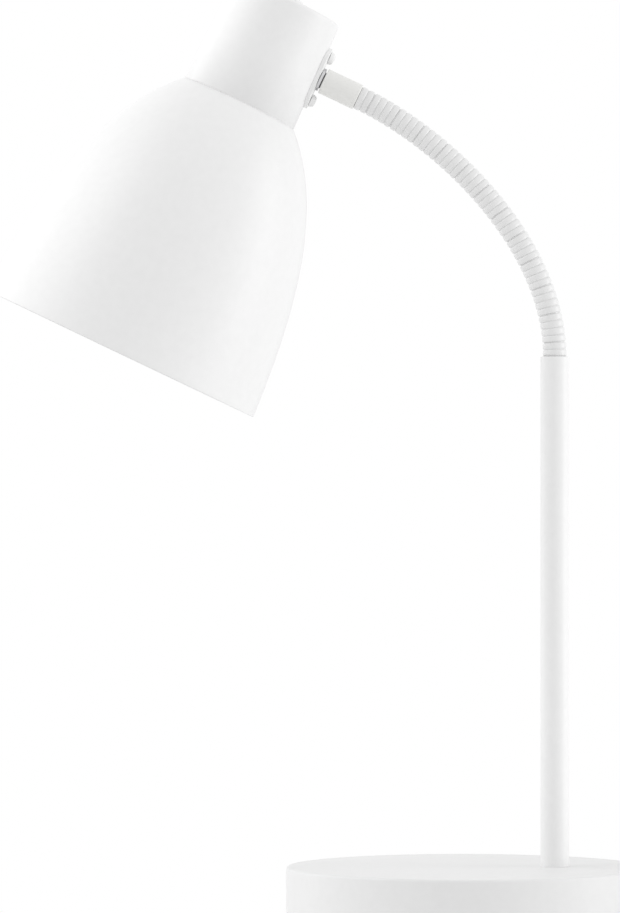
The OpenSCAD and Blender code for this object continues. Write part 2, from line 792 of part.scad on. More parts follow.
module bracket_plate() {
    color(paint) in_head() difference() {
        intersection() {
            cup_ring(snug, plate_t, -plate_len / 2, plate_len / 2);
            strip(plate_w, -plate_len / 2, plate_len / 2);
        }
        plate_holes();
    }
}

module bracket_screws() {
    color(paint) in_head() for (z = [-plate_screw_z, plate_screw_z])
        translate([cup_r_at(z - plate_head_r) + plate_t, 0, z]) rotate([0, -90, 0])
            cross_screw(plate_t + sheet_t + bracket_t + 1, plate_head_r, plate_head_h);
}

module nipple_nut() {
    color(steel) on_neck_axis() difference() {
        hex(nut_8_af, nut_8_x - nut_8_t, nut_8_x);
        disc(nipple_r + snug, nut_8_x - nut_8_t - over, nut_8_x + over, small_fn);
    }
}

// ---- Cup and shade ----

// Crown's outer face at radius r
function crown_at(r) = crown_top - crown_sphere + sqrt(pow(crown_sphere, 2) - pow(r, 2));

// Half section of the cup's outer side, drawn in by d
function cup_side(d) = concat(
    [[cup_r - d, shade_z]],
    [for (a = [0:18:72]) [cup_r - cup_draft - cup_corner, corner_z] + polar(cup_corner - d, a)],
    [for (i = [4:-1:0]) [crown_r * i / 5, crown_at(crown_r * i / 5) - d]]);
function reversed(v) = [for (i = [len(v) - 1:-1:0]) v[i]];

module lamp_cup() {
    color(paint) in_head() difference() {
        rotate_extrude() polygon(concat(cup_side(0), reversed(cup_side(sheet_t))));
        plate_holes();
        disc(bush_r + snug, cup_up - over, crown_top + over, small_fn);
    }
}

// Shade's outline: one Bezier curve from the cup to the rim, as [r, depth]
SHADE_STEPS = 20;
flare = shade_r - cup_r;
shade_knots = [[cup_r, 0], [cup_r + 0.775 * flare, 0.229 * shade_h],
               [cup_r + 0.941 * flare, 0.646 * shade_h], [shade_r, shade_h]];
function bezier(k, t) = pow(1 - t, 3) * k[0] + 3 * pow(1 - t, 2) * t * k[1]
                        + 3 * (1 - t) * pow(t, 2) * k[2] + pow(t, 3) * k[3];
function slope(k, t) = unit(pow(1 - t, 2) * (k[1] - k[0]) + 2 * (1 - t) * t * (k[2] - k[1])
                            + pow(t, 2) * (k[3] - k[2]));
// Outline drawn in by d, as [r, z]
function shade_line(d) = [for (i = [0:SHADE_STEPS])
    let (t = i / SHADE_STEPS, p = bezier(shade_knots, t), s = slope(shade_knots, t))
        [p.x - d * s.y, shade_z - p.y - d * s.x]];

module lamp_shade() {
    inside = shade_line(sheet_t);
    s = slope(shade_knots, 0);
    color(paint) in_head() rotate_extrude() polygon(concat(
        [[shade_hole_r, shade_z]], shade_line(0),
        [for (i = [SHADE_STEPS:-1:1]) inside[i]],
        [[cup_r - sheet_t * (1 - s.x) / s.y, shade_z - sheet_t],
         [shade_hole_r, shade_z - sheet_t]]));
}

// ---- Lamp holder ----

holder_screw_x = 7;

module holder_bracket() {
    out = sheet_t + snug;
    shelf_x = sqrt(pow(leg_r_at(bracket_z), 2) - pow(bracket_w / 2, 2)) - bracket_t / 4;
    color(steel) in_head() difference() {
        union() {
            intersection() {
                cup_ring(-out - bracket_t, -out, bracket_z - bracket_t, leg_up);
                block([0, -bracket_w / 2, holder_top], [cup_r, bracket_w / 2, leg_up]);
            }
            block([-bracket_w, -bracket_w / 2, holder_top], [shelf_x, bracket_w / 2, bracket_z]);
        }
        plate_holes();
        for (x = [-holder_screw_x, holder_screw_x]) translate([x, 0, 0])
            disc(screw_r + snug, holder_top - over, bracket_z + over, small_fn);
    }
}

module holder_screws() {
    color(steel) in_head() for (x = [-holder_screw_x, holder_screw_x])
        translate([x, 0, bracket_z]) mirror([0, 0, 1]) cross_screw(bracket_t + 2.4);
}

module lamp_holder() {
    color(black) in_head() difference() {
        rotate_extrude() polygon([
            [0, holder_top], [holder_r - 2, holder_top], [holder_r, holder_top - 2],
            [holder_r, shade_z + holder_flange_t], [holder_flange_r, shade_z + holder_flange_t],
            [holder_flange_r, shade_z], [holder_r, shade_z],
            [holder_r, holder_bottom + 1], [holder_r - 1, holder_bottom],
            [shell_r + snug + 1, holder_bottom], [shell_r + snug, holder_bottom + 1],
            [shell_r + snug, contact_z], [0, contact_z]]);
        for (x = [-holder_screw_x, holder_screw_x]) translate([x, 0, 0])
            disc(screw_r + snug, contact_z - over, holder_top + over, small_fn);
    }
}

module holder_shell() {
    color(brass) in_head() rotate_extrude() polygon([
        [shell_r - shell_t, holder_bottom + shell_in], [shell_r, holder_bottom + shell_in],
        [shell_r, contact_z - shell_gap], [shell_r - shell_t, contact_z - shell_gap]]);
}

module holder_contact() {
    color(brass) in_head() disc(contact_r, contact_z - contact_t, contact_z, small_fn);
}

module shade_ring() {
    color(black) in_head() difference() {
        disc(ring_r, shade_z - sheet_t - ring_h, shade_z - sheet_t);
        disc(holder_r + snug, shade_z - sheet_t - ring_h - over, shade_z - sheet_t + over);
    }
}

// ---- Push switch ----

module switch_body() {
    color(paint) in_head() difference() {
        union() {
            disc(switch_r, switch_z1 - switch_h, switch_z1, small_fn);
            disc(bush_r, switch_z1 - over, crown_top + bush_up, small_fn);
        }
        disc(button_r + 0.2, switch_z1 - 2 * over, crown_top + bush_up + over, small_fn);
        disc(chamber_r, chamber_z, flange_z1 + 0.1, small_fn);
    }
}

module switch_nut() {
    color(paint) in_head() difference() {
        hex(switch_nut_af, crown_top, crown_top + switch_nut_t);
        disc(bush_r + snug, crown_top - over, crown_top + switch_nut_t + over, small_fn);
    }
}

module switch_button() {
    top = crown_top + bush_up + button_up;
    color(paint) in_head() rotate_extrude($fn = small_fn) polygon([
        [0, flange_z1 - button_flange_t], [button_flange_r, flange_z1 - button_flange_t],
        [button_flange_r, flange_z1], [button_r, flange_z1],
        [button_r, top - 0.8], [button_r - 0.8, top], [0, top]]);
}

module switch_spring() {
    z0 = chamber_z + spring_wire + snug;
    z1 = flange_z1 - button_flange_t - spring_wire - snug;
    steps = spring_turns * 8;
    color(steel) in_head() sweep([for (i = [0:steps])
        [spring_r * cos(45 * i), spring_r * sin(45 * i), z0 + (z1 - z0) * i / steps]],
        spring_wire, 6);
}

// Leads inside the cup: from the neck to the switch, and from the switch to the lamp holder
switch_z0 = switch_z1 - switch_h;
cup_leads = [
    [[sleeve_x + sleeve_len - end_len - slack, 0, 0], [nipple_x0, 0, 0], [nipple_x0 - 4, 0.4, -0.3],
     [9.5, 1, 1], [6.5, 1.2, switch_z0 - 3], [6, 1.2, switch_z0 - snug]],
    [[-6, 0, switch_z0 - snug], [-6.5, 0, switch_z0 - 3], [-9.5, 0, 0], [-13, 0, -5],
     [-14.5, 0, -10], [-14.5, 0, holder_top + 3], [-14.5, 0, holder_top + snug]]];

module lead_head() {
    color(plastic) in_head() for (points = cup_leads) sweep(smooth(points, 4), lead_r);
}

// ---- Bulb ----

cap_end = tip_z - cap_len;

module bulb_cap() {
    color(steel) in_head() rotate_extrude() polygon([
        [0, tip_z], [4, tip_z], [5, tip_z - 1.5], [9, tip_z - cap_shoulder],
        [bulb_cap_r, tip_z - cap_shoulder - 2], [bulb_cap_r, cap_end], [0, cap_end]]);
}

module bulb_housing() {
    throat_z = min(cap_end, holder_bottom) - 2;
    color(plastic) in_head() rotate_extrude() polygon([
        [0, cap_end], [bulb_cap_r, cap_end], [bulb_cap_r + 0.2, throat_z],
        for (t = [0.15, 0.35, 0.6, 0.8, 1])
            [bulb_cap_r + (join_r - bulb_cap_r) * sin(90 * t),
             throat_z + (globe_z + globe_join - throat_z) * t],
        [0, globe_z + globe_join]]);
}

module bulb_globe() {
    color("white") in_head() translate([0, 0, globe_z]) difference() {
        sphere(r = bulb_r);
        sphere(r = bulb_r - globe_t);
        disc(bulb_r + over, globe_join, bulb_r + over);
    }
}

foot_pad();
base_cover();
cover_screws();
base_shell();
weight_plate();
weight_screws();
deck_plate();
deck_screws();
runner_left();
runner_right();
runner_screws();
drawer_tray();
drawer_front();
front_screws();
drawer_knob();
knob_screw();
cord_gland();
terminal_block();
terminal_screws();
lead_base();
pole();
pole_stud();
pole_washer();
pole_nut();
for (k = [0:LINKS]) gooseneck(k);
lead_neck();
neck_sleeve();
neck_nipple();
bracket_plate();
bracket_screws();
nipple_nut();
lamp_cup();
lamp_shade();
holder_bracket();
holder_screws();
lamp_holder();
holder_shell();
holder_contact();
shade_ring();
lead_head();
switch_body();
switch_nut();
switch_spring();
switch_button();
bulb_cap();
bulb_housing();
bulb_globe();
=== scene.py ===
import json
import math

import bmesh
import bpy
from mathutils import Matrix, Vector

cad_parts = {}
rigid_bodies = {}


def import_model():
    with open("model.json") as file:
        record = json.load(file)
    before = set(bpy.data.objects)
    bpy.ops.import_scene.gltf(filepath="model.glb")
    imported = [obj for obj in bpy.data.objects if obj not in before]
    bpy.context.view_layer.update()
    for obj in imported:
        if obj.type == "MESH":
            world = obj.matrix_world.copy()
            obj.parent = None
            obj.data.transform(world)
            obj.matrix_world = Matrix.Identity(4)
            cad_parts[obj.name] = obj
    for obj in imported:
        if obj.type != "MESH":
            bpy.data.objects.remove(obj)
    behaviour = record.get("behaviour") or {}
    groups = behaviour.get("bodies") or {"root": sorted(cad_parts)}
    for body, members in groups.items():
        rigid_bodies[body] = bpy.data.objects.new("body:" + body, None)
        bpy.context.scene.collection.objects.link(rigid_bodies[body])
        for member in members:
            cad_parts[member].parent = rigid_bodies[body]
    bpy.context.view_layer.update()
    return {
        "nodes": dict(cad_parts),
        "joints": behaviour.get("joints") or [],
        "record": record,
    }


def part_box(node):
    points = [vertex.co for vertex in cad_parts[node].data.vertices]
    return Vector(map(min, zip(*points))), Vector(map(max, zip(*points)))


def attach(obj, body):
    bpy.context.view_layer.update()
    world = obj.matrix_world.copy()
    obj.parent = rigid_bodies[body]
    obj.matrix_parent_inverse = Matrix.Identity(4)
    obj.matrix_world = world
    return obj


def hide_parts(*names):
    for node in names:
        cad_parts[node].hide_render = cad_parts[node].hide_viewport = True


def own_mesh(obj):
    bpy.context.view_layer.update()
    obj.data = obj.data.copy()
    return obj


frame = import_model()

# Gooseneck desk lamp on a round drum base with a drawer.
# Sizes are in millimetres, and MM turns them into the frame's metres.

MM = 0.001
NODES = frame["nodes"]
JOINTS = {j["name"]: j for j in frame["joints"]}
for imported in list(bpy.data.materials):
    bpy.data.materials.remove(imported)


def low(node):
    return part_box(node)[0] / MM


def high(node):
    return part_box(node)[1] / MM


# ---- Sizes taken from the frame ----

BASE_R = high("base_shell").x
BASE_TOP = high("base_shell").z
BASE_FOOT = low("base_shell").z
POLE_X = (low("pole").x + high("pole").x) / 2
POLE_R = (high("pole").x - low("pole").x) / 2
POLE_FOOT, POLE_TOP = low("pole").z, high("pole").z
FRONT_X = high("drawer_front").x
FRONT_Z0, FRONT_Z1 = low("drawer_front").z, high("drawer_front").z
TRAY_BACK, TRAY_TOP = high("drawer_tray").y, high("drawer_tray").z
KNOB_Z = (low("drawer_knob").z + high("drawer_knob").z) / 2
KNOB_END = -low("drawer_knob").y
GLAND_Z = (low("cord_gland").z + high("cord_gland").z) / 2
GLAND_Y0, GLAND_Y1 = low("cord_gland").y, high("cord_gland").y

# The head's own frame: +Z up the cup's axis, +X back along the neck
HEAD_UP = -Vector(JOINTS["button_press"]["axis"]).normalized()
HEAD_X = Vector((HEAD_UP.z, 0, -HEAD_UP.x))
LAST_JOINT = Vector(JOINTS["neck_bend_12"]["pos_m"]) / MM
CONTACT = (low("holder_contact") + high("holder_contact")) / 2
HEAD_AT = CONTACT + HEAD_UP * (LAST_JOINT - CONTACT).dot(HEAD_UP)
HEAD = Matrix.LocRotScale(HEAD_AT, Matrix((HEAD_X, (0, 1, 0), HEAD_UP)).transposed(), None)

# ---- Sizes of the visible forms ----

FIT = 0.05                      # clearance of one piece in another's bore
OVER = 9                        # how far a cutter reaches past what it cuts
SHARP = 35                      # angle from which an edge is shaded sharp, in degrees
SHEET_SHARP = 50                # the same for the cup and the shade
BEVEL_FROM = 40                 # angle from which an edge is rounded, in degrees
BEVEL_SEGMENTS = 3
SHELL_ROUND, TRAY_ROUND, FRONT_ROUND = 0.35, 0.4, 0.5
# Sides of the turned forms; the drum's are those of the drawer's front too
DRUM_SIDES, SHADE_SIDES, CUP_SIDES, BULB_SIDES, HOLDER_SIDES = 288, 384, 256, 192, 160
ROD_SIDES, SMALL_SIDES, HOLE_SIDES, SCREW_SIDES = 128, 96, 64, 48

WALL = 2.4
TOP_T = 3
EDGE = 1.25
FRONT_T = 2.4
TRAY_R = 78.55
TRAY_WALL = 1.8
TRAY_CORNER = 6
TRAY_FILLET, TRAY_FILLET_MID = 1.5, 0.4         # where the tray's wall meets its floor
TRAY_ARC_STEPS = 24             # to each side of the front's middle
GAP = 0.6
STUB_Y0, STUB_Y1 = 36.1, 46.1
STUB_UP, STUB_H = 5.7, 2.6
STUB_ROOT = 0.95                # share of the stubs' reach at which their blocks start
KNOB_R = 7.5
KNOB_NECK_R = KNOB_R * 0.55
KNOB_FLARE, KNOB_FLARE_LEN = 1.4, 2.2
KNOB_UNDER, KNOB_HEAD_T, KNOB_CROWN = 7, 4.6, 0.3
FRONT_SEAT = 76.683
FRONT_ANGLE = 28
GLAND_R, GLAND_FLANGE_R = 5.25, 7
GLAND_BORE, GLAND_CORE, GLAND_LIP = 3.2, 3.7, 1.8
GLAND_TAPER = 0.8
GLAND_CATCH, GLAND_CATCH_Y0, GLAND_CATCH_Y1 = 0.9, 2.8, 3.5
GLAND_DISH = 0.5                # depth of the hollow in its outer face
GLAND_MOUTH, GLAND_MOUTH_DEEP = 0.7, 0.9
GLAND_HOLE_LEN = 20
POLE_WALL = 1

# Screws: the shank's radius, and the head's usual radius and height
SHANK_R, HEAD_R, HEAD_H = 1.6, 3.2, 1.6
# Shares of the shank's radius, and of the head's radius and height
PITCH, THREAD_DEPTH = 0.45, 0.22
DOME_FLAT, DOME_ROUND = 0.78, 0.55
RECESS_ARM, RECESS_WIDTH, RECESS_FLOOR = 0.5, 0.11, 0.35
# Rings of screws in the base: node, radius of the ring, angles, height of the seats, and each
# screw's length, head radius and head height
SCREW_RINGS = (
    ("cover_screws", 72.1, (19.5, 160.5, 199.5, -19.5), 2, 12, HEAD_R, HEAD_H),
    ("weight_screws", 50, (140, 200, 300), 47, 9, 6, HEAD_H),
    ("deck_screws", 71.6, (60, 180, 300), 36, 11, HEAD_R, 1.4))
RUNNER_SCREW_X, RUNNER_SCREW_Y, RUNNER_SCREW_Z = 64.2, 8, 7.5
RUNNER_SCREW_LEN, RUNNER_SCREW_HEAD_R = 5, 2.5
FRONT_SCREW_LEN, KNOB_SCREW_LEN = 3.7, 10.3

LINKS = 12
LINK = 12.8
NECK_TURN = 64.5
TURN_1, TURN_2 = 1.84, -1.61
RIB_PITCH = 3.2
NECK_R = 5.35
GROOVE = 0.6
GROOVE_POWER = 4
NECK_BORE = 3.4
LEAD_R = 1.8
PLUG_LEN, PLUG_FIT, PLUG_DROP = 20, 0.15, 0.1
SLEEVE_R = 5.9
SLEEVE_LEN = 17.2
SLEEVE_GAP = 1.7
SLEEVE_SEAT = 5                 # length of the neck's end inside the sleeve
NIPPLE_R, NIPPLE_BORE = 3.95, 2.4
NIPPLE_IN = 9                   # how far the nipple starts inside the cup
NIPPLE_THREAD, NIPPLE_STEP, NIPPLE_STEPS = 0.3, 0.35, 60
COLLAR_R, COLLAR_X0, COLLAR_X1 = 5.4, -0.2, 1.1
COLLAR_IN = 0.1                 # overlap of the collar and the nipple

SHEET = 0.8
CUP_R = 27.1
CUP_DRAFT = 1.2
CUP_UP, CUP_DOWN = 25.2, 25.6
CUP_CORNER = 1.8
CUP_CORNER_Z = CUP_UP - CUP_CORNER * 0.85
CUP_CORNER_ANGLES = range(0, 73, 8)
CUP_TOP_R = CUP_R - CUP_DRAFT - 0.05            # a little in, to stay inside the CAD box
CROWN = 1.6
CROWN_R = CUP_TOP_R - CUP_CORNER * 0.7
CROWN_STEPS = 16
LIP = 0.12
SHADE_R = 66.5
SHADE_H = 124.7
SHADE_STEPS = 64
# The bell's curve leads towards these points, in shares of its flare and of its height
SHADE_LEAD_1, SHADE_LEAD_2 = (0.775, 0.229), (0.941, 0.646)
SHADE_HOLE = 0.3                # clearance round the lamp holder
SHADE_TRIM = 0.05               # gap in the inner line at the shade's top
RIM_ROUND = SHEET * 0.45
PLATE_T = 1.7
PLATE_SCREW_Z = 10.4
PLATE_SCREW_LEN, PLATE_SCREW_HEAD_R, PLATE_SCREW_HEAD_H = 5, 3, 2.2
BUSH_R, BUSH_UP = 4.9, 1.4
BUTTON_R, BUTTON_UP = 3.2, 3.5
BUTTON_CROWN = 0.25
BUTTON_FLANGE_R, BUTTON_FLANGE_T = 4.4, 1.5
BUTTON_FLANGE_Z = CUP_UP + CROWN - SHEET - 2.3
SPRING_R, SPRING_WIRE, SPRING_TURNS = 3.2, 0.35, 5
SPRING_ROOM = 7.5               # from the chamber's floor to the button's flange
SPRING_FLAT = 0.6               # of a turn, lying flat at each end
SPRING_STEPS, SPRING_SIDES = 32, 12             # round a turn, and round the wire
HOLDER_R = 19.8
HOLDER_TOP, HOLDER_FOOT = -16.4, -47.6
HOLDER_ROOF = 3
HOLDER_RIB_R, HOLDER_RIB_H = 22.5, 2            # the rib that the shade hangs under
RING_R, RING_H = 24, 5
GRIP_RIBS, GRIP_DEPTH = 48, 0.48
GRIP_BAND = 0.9                 # width of the ring's outer band that the grooves go into
SHELL_R = 14
BULB_TIP = -20.8
BULB_CAP_R = 13
BULB_CAP_LEN = 25
# Solder tip of the bulb's cap: radius, and depth below the tip
CAP_TIP = ((0, 0), (3.6, 0), (4.8, 1.2), (8.8, 2.4), (11.6, 4))
CAP_THREAD, CAP_TURNS, CAP_STEPS = 0.45, 5, 55
CAP_SHARP = 40
CAP_THREAD_START, CAP_THREAD_END = 5, 2         # from the tip, and from the cap's open end
CAP_END = BULB_TIP - BULB_CAP_LEN
BULB_R = 30
BULB_LEN = 106
BULB_NECK_DROP = 2              # of the neck's start below the cap and the holder
BULB_NECK_STEPS, GLOBE_STEPS = 24, 48
GLOBE_JOIN = 11
GLOBE_INNER = 0.96              # inner size of the globe over its outer size
GLOBE_Z = BULB_TIP - BULB_LEN + BULB_R
JOIN_Z = GLOBE_Z + GLOBE_JOIN
JOIN_R = math.sqrt(BULB_R ** 2 - GLOBE_JOIN ** 2)
JOIN_IN = 0.3                   # how far the housing's upper edge is drawn in


# ---- Mesh helpers ----

def rounded(corners, steps=6):
    """Outline through (x, z, radius) corners, each rounded by its radius."""
    points = []
    for i, (x, z, radius) in enumerate(corners):
        here = Vector((x, z))
        if radius <= 0:
            points.append(here)
            continue
        back = (Vector(corners[i - 1][:2]) - here).normalized()
        on = (Vector(corners[(i + 1) % len(corners)][:2]) - here).normalized()
        half = back.angle(on) / 2
        if math.cos(half) < 0.01:               # no corner here
            points.append(here)
            continue
        centre = here + (back + on).normalized() * radius / math.sin(half)
        a = here + back * radius / math.tan(half) - centre
        b = here + on * radius / math.tan(half) - centre
        start = math.atan2(a.y, a.x)
        sweep = math.remainder(math.atan2(b.y, b.x) - start, math.tau)
        points += [centre + Vector((math.cos(start + sweep * k / steps),
                                    math.sin(start + sweep * k / steps))) * radius
                   for k in range(steps + 1)]
    return points


def turned(outline, sides):
    """Closed outline of (r, z) points turned about +Z."""
    bm = bmesh.new()
    rings = []
    for r, z in outline:
        count = 1 if abs(r) < 1e-6 else sides
        rings.append([bm.verts.new((r * math.cos(math.tau * k / sides),
                                    r * math.sin(math.tau * k / sides), z))
                      for k in range(count)])
    for a, b in zip(rings, rings[1:] + rings[:1]):
        for k in range(sides):
            corners = [a[k % len(a)], a[(k + 1) % len(a)], b[(k + 1) % len(b)], b[k % len(b)]]
            corners = list(dict.fromkeys(corners))
            if len(corners) > 2:
                bm.faces.new(corners)
    bmesh.ops.recalc_face_normals(bm, faces=bm.faces)
    return bm


def prism(outline, z0, z1):
    """Closed outline of (x, y) points raised from z0 to z1."""
    bm = bmesh.new()
    lower = [bm.verts.new((x, y, z0)) for x, y in outline]
    upper = [bm.verts.new((x, y, z1)) for x, y in outline]
    bm.faces.new(lower[::-1])
    bm.faces.new(upper)
    for k in range(len(lower)):
        n = (k + 1) % len(lower)
        bm.faces.new((lower[k], lower[n], upper[n], upper[k]))
    bmesh.ops.recalc_face_normals(bm, faces=bm.faces)
    return bm


def box_form(a, b):
    """Box between two corners."""
    return prism([(a[0], a[1]), (b[0], a[1]), (b[0], b[1]), (a[0], b[1])], a[2], b[2])


def joined(forms):
    """One bmesh that holds all the forms."""
    whole = bmesh.new()
    for form in forms:
        part = bpy.data.meshes.new("part")
        form.to_mesh(part)
        form.free()
        whole.from_mesh(part)
        bpy.data.meshes.remove(part)
    return whole


def moved(form, matrix):
    form.transform(matrix)
    return form


def smooth(mesh, sharp):
    """Smooth shading up to an angle in degrees."""
    mesh.shade_smooth()
    mesh.set_sharp_from_angle(angle=math.radians(sharp))


def to_object(name, form, place=Matrix(), sharp=SHARP):
    """Object of a millimetre form, set in place and shaded smooth up to the sharp angle."""
    form.transform(Matrix.Scale(MM, 4) @ place)
    mesh = bpy.data.meshes.new(name)
    form.to_mesh(mesh)
    form.free()
    smooth(mesh, sharp)
    obj = bpy.data.objects.new(name, mesh)
    bpy.context.scene.collection.objects.link(obj)
    return obj


def carve(obj, cutter, operation="DIFFERENCE"):
    """Cuts the object with a cutter, or keeps what lies inside it."""
    step = obj.modifiers.new("carve", "BOOLEAN")
    step.operation, step.object, step.solver = operation, cutter, "EXACT"
    graph = bpy.context.evaluated_depsgraph_get()
    mesh = bpy.data.meshes.new_from_object(obj.evaluated_get(graph))
    obj.modifiers.clear()
    obj.data = mesh
    smooth(mesh, SHARP)
    bpy.data.objects.remove(cutter)


def copy_of(node):
    """Joined-up copy of a CAD node's form."""
    form = bmesh.new()
    form.from_mesh(NODES[node].data)
    form.transform(Matrix.Scale(1 / MM, 4) @ NODES[node].matrix_world)
    bmesh.ops.remove_doubles(form, verts=form.verts, dist=0.001)
    bmesh.ops.dissolve_limit(form, angle_limit=math.radians(1), verts=form.verts, edges=form.edges)
    return form


def soften(obj, width):
    """Rounds the object's sharp edges."""
    bevel = obj.modifiers.new("soften", "BEVEL")
    bevel.width, bevel.segments = width * MM, BEVEL_SEGMENTS
    bevel.limit_method, bevel.angle_limit = "ANGLE", math.radians(BEVEL_FROM)
    bevel.harden_normals = True
    return obj


def upright(x, y=0, z=0):
    return Matrix.Translation((x, y, z))


def facing(direction, at=(0, 0, 0)):
    """Turns +Z to the direction, at a point."""
    turn = Vector(direction).to_track_quat("Z", "Y").to_matrix().to_4x4()
    return Matrix.Translation(at) @ turn


def pan_screw(length, head_r, head_h):
    """Pan-head screw from z = 0 up, its head below, with a cross recess and a thread."""
    dome = rounded([(0, -head_h, 0), (head_r * DOME_FLAT, -head_h, head_h * DOME_ROUND),
                    (head_r, 0, 0)], 8)
    pitch = SHANK_R * PITCH
    turns = int((length - SHANK_R) / pitch)
    thread = [(SHANK_R - (THREAD_DEPTH * SHANK_R if k % 2 else 0), k * pitch / 2)
              for k in range(2 * turns)]
    whole = to_object("screw", turned(dome + thread + [(0, length)], SCREW_SIDES))
    arm, half = head_r * RECESS_ARM, head_r * RECESS_WIDTH
    floor = -head_h * RECESS_FLOOR
    for x, y in ((arm, half), (half, arm)):
        carve(whole, to_object("cutter", box_form((-x, -y, -head_h - 1), (x, y, floor))))
    form = bmesh.new()
    form.from_mesh(whole.data)
    form.transform(Matrix.Scale(1 / MM, 4))
    bpy.data.objects.remove(whole)
    return form


# ---- Materials ----

SPREAD = 0.04                   # how far each roughness varies
BUMP_STRENGTH = 0.6
COAT_ROUGHNESS = 0.2


def noise(tree, scale, detail):
    """Noise at a scale per metre, on the object's own coordinates."""
    place = tree.nodes.new("ShaderNodeTexCoord").outputs["Object"]
    node = tree.nodes.new("ShaderNodeTexNoise")
    node.inputs["Scale"].default_value = scale
    node.inputs["Detail"].default_value = detail
    tree.links.new(place, node.inputs["Vector"])
    return node.outputs["Fac"]


def ranged(tree, value, a, b):
    """Maps the middle of a noise, 0.3 to 0.7, to a range from a to b."""
    node = tree.nodes.new("ShaderNodeMapRange")
    node.inputs["From Min"].default_value, node.inputs["From Max"].default_value = 0.3, 0.7
    node.inputs["To Min"].default_value, node.inputs["To Max"].default_value = a, b
    tree.links.new(value, node.inputs["Value"])
    return node.outputs["Result"]


def finish_of(name, colour, roughness, grain, depth, mottle=0.01, metal=0, coat=0, patch=260):
    """Material with a fine grain, faint mottling and uneven gloss.
    grain and patch are in bumps per metre, depth is in millimetres, and mottle is a share of
    the colour."""
    material = bpy.data.materials.new(name)
    material.use_nodes = True
    tree = material.node_tree
    shader = tree.nodes["Principled BSDF"]
    shader.inputs["Metallic"].default_value = metal
    shader.inputs["Coat Weight"].default_value = coat
    shader.inputs["Coat Roughness"].default_value = COAT_ROUGHNESS
    mix = tree.nodes.new("ShaderNodeMix")
    mix.data_type = "RGBA"
    mix.inputs["A"].default_value = [c * (1 - mottle) for c in colour] + [1]
    mix.inputs["B"].default_value = [min(1, c * (1 + mottle)) for c in colour] + [1]
    tree.links.new(ranged(tree, noise(tree, patch, 5), 0, 1), mix.inputs["Factor"])
    tree.links.new(mix.outputs["Result"], shader.inputs["Base Color"])
    uneven = ranged(tree, noise(tree, patch * 3, 3), roughness - SPREAD, roughness + SPREAD)
    tree.links.new(uneven, shader.inputs["Roughness"])
    bump = tree.nodes.new("ShaderNodeBump")
    bump.inputs["Strength"].default_value = BUMP_STRENGTH
    bump.inputs["Distance"].default_value = depth * MM
    tree.links.new(noise(tree, grain, 2), bump.inputs["Height"])
    tree.links.new(bump.outputs["Normal"], shader.inputs["Normal"])
    return material


SHELL_WHITE = finish_of("shell_white", (0.8, 0.8, 0.8), 0.5, 2600, 0.015)
INNER_WHITE = finish_of("inner_white", (0.8, 0.8, 0.79), 0.55, 1800, 0.03)
LAMP_WHITE = finish_of("lamp_white", (0.875, 0.875, 0.875), 0.45, 1500, 0.015)
# The neck's white is a darker copy of the lamp's white paint: painted shade, standing in for the
# shade that falls on the neck
NECK_SHADED_WHITE = finish_of("neck_white", (0.82, 0.82, 0.82), 0.35, 1800, 0.003)
SLEEVE_IVORY = finish_of("sleeve_ivory", (0.85, 0.848, 0.83), 0.4, 1800, 0.01)
FOAM = finish_of("foam_pad", (0.05, 0.05, 0.05), 0.9, 900, 0.3, mottle=0.2)
BLACK = finish_of("black_plastic", (0.03, 0.03, 0.032), 0.45, 3000, 0.05, mottle=0.1)
BUTTON_WHITE = finish_of("button_white", (0.86, 0.86, 0.86), 0.25, 1200, 0.01, coat=0.3)
ZINC = finish_of("zinc_steel", (0.63, 0.63, 0.64), 0.35, 3000, 0.02, mottle=0.06, metal=1)
WEIGHT = finish_of("weight_steel", (0.28, 0.28, 0.29), 0.5, 1500, 0.08, mottle=0.15, metal=1)
BRASS = finish_of("brass", (0.72, 0.53, 0.25), 0.3, 2000, 0.02, mottle=0.08, metal=1)
SHEATH = finish_of("lead_sheath", (0.8, 0.8, 0.78), 0.6, 2500, 0.03)
CAP_METAL = finish_of("bulb_metal", (0.7, 0.71, 0.72), 0.3, 2500, 0.02, mottle=0.05, metal=1)
BULB_BODY = finish_of("bulb_body", (0.85, 0.85, 0.84), 0.35, 1600, 0.02)
OPAL = finish_of("bulb_opal", (0.9, 0.9, 0.88), 0.3, 900, 0.01, mottle=0.01)

MATERIALS = {m.name: m for m in (
    SHELL_WHITE, INNER_WHITE, LAMP_WHITE, NECK_SHADED_WHITE, SLEEVE_IVORY, FOAM, BLACK, BUTTON_WHITE,
    ZINC, WEIGHT, BRASS, SHEATH, CAP_METAL, BULB_BODY, OPAL)}


def dress(obj, material, body, stands_for=()):
    """Gives a new piece its material and its body, and hides the nodes that it stands for."""
    obj.data.materials.clear()
    obj.data.materials.append(material)
    if stands_for:
        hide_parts(*stands_for)
    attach(obj, body)


def dress_turned(node, outline, sides, place, material, body, sharp=SHARP):
    """Turned piece that stands for a CAD node."""
    piece = to_object(node + "_dressed", turned(outline, sides), place, sharp)
    dress(piece, material, body, [node])


def screw_set(node, material, body, places, length, head_r=HEAD_R, head_h=HEAD_H):
    """Screws of one CAD node, one at each place."""
    forms = [moved(pan_screw(length, head_r, head_h), place) for place in places]
    dress(to_object(node + "_dressed", joined(forms)), material, body, [node])


# ---- Camera, light and floor ----

CAMERA_AT = (-70.2, -2540, 246.5)
LENS, SENSOR = 222.5, 36
WORLD_LEVEL = 0.79
FLOOR_R, FLOOR_T, FLOOR_SIDES = 450, 2, 96
# The rest of this section is in metres and watts
CLIP_END = 20
AIM = (-0.03, 0, 0.25)
# Lights: name, place, size and power
LIGHTS = (("key", (2.1, -0.2, 0.5), (0.8, 1.8), 15),
          ("fill", (-1.7, -0.5, 1.7), (1.2, 1.2), 10),
          ("edge", (-1.7, 0.7, 0.8), (0.8, 1.8), 7))


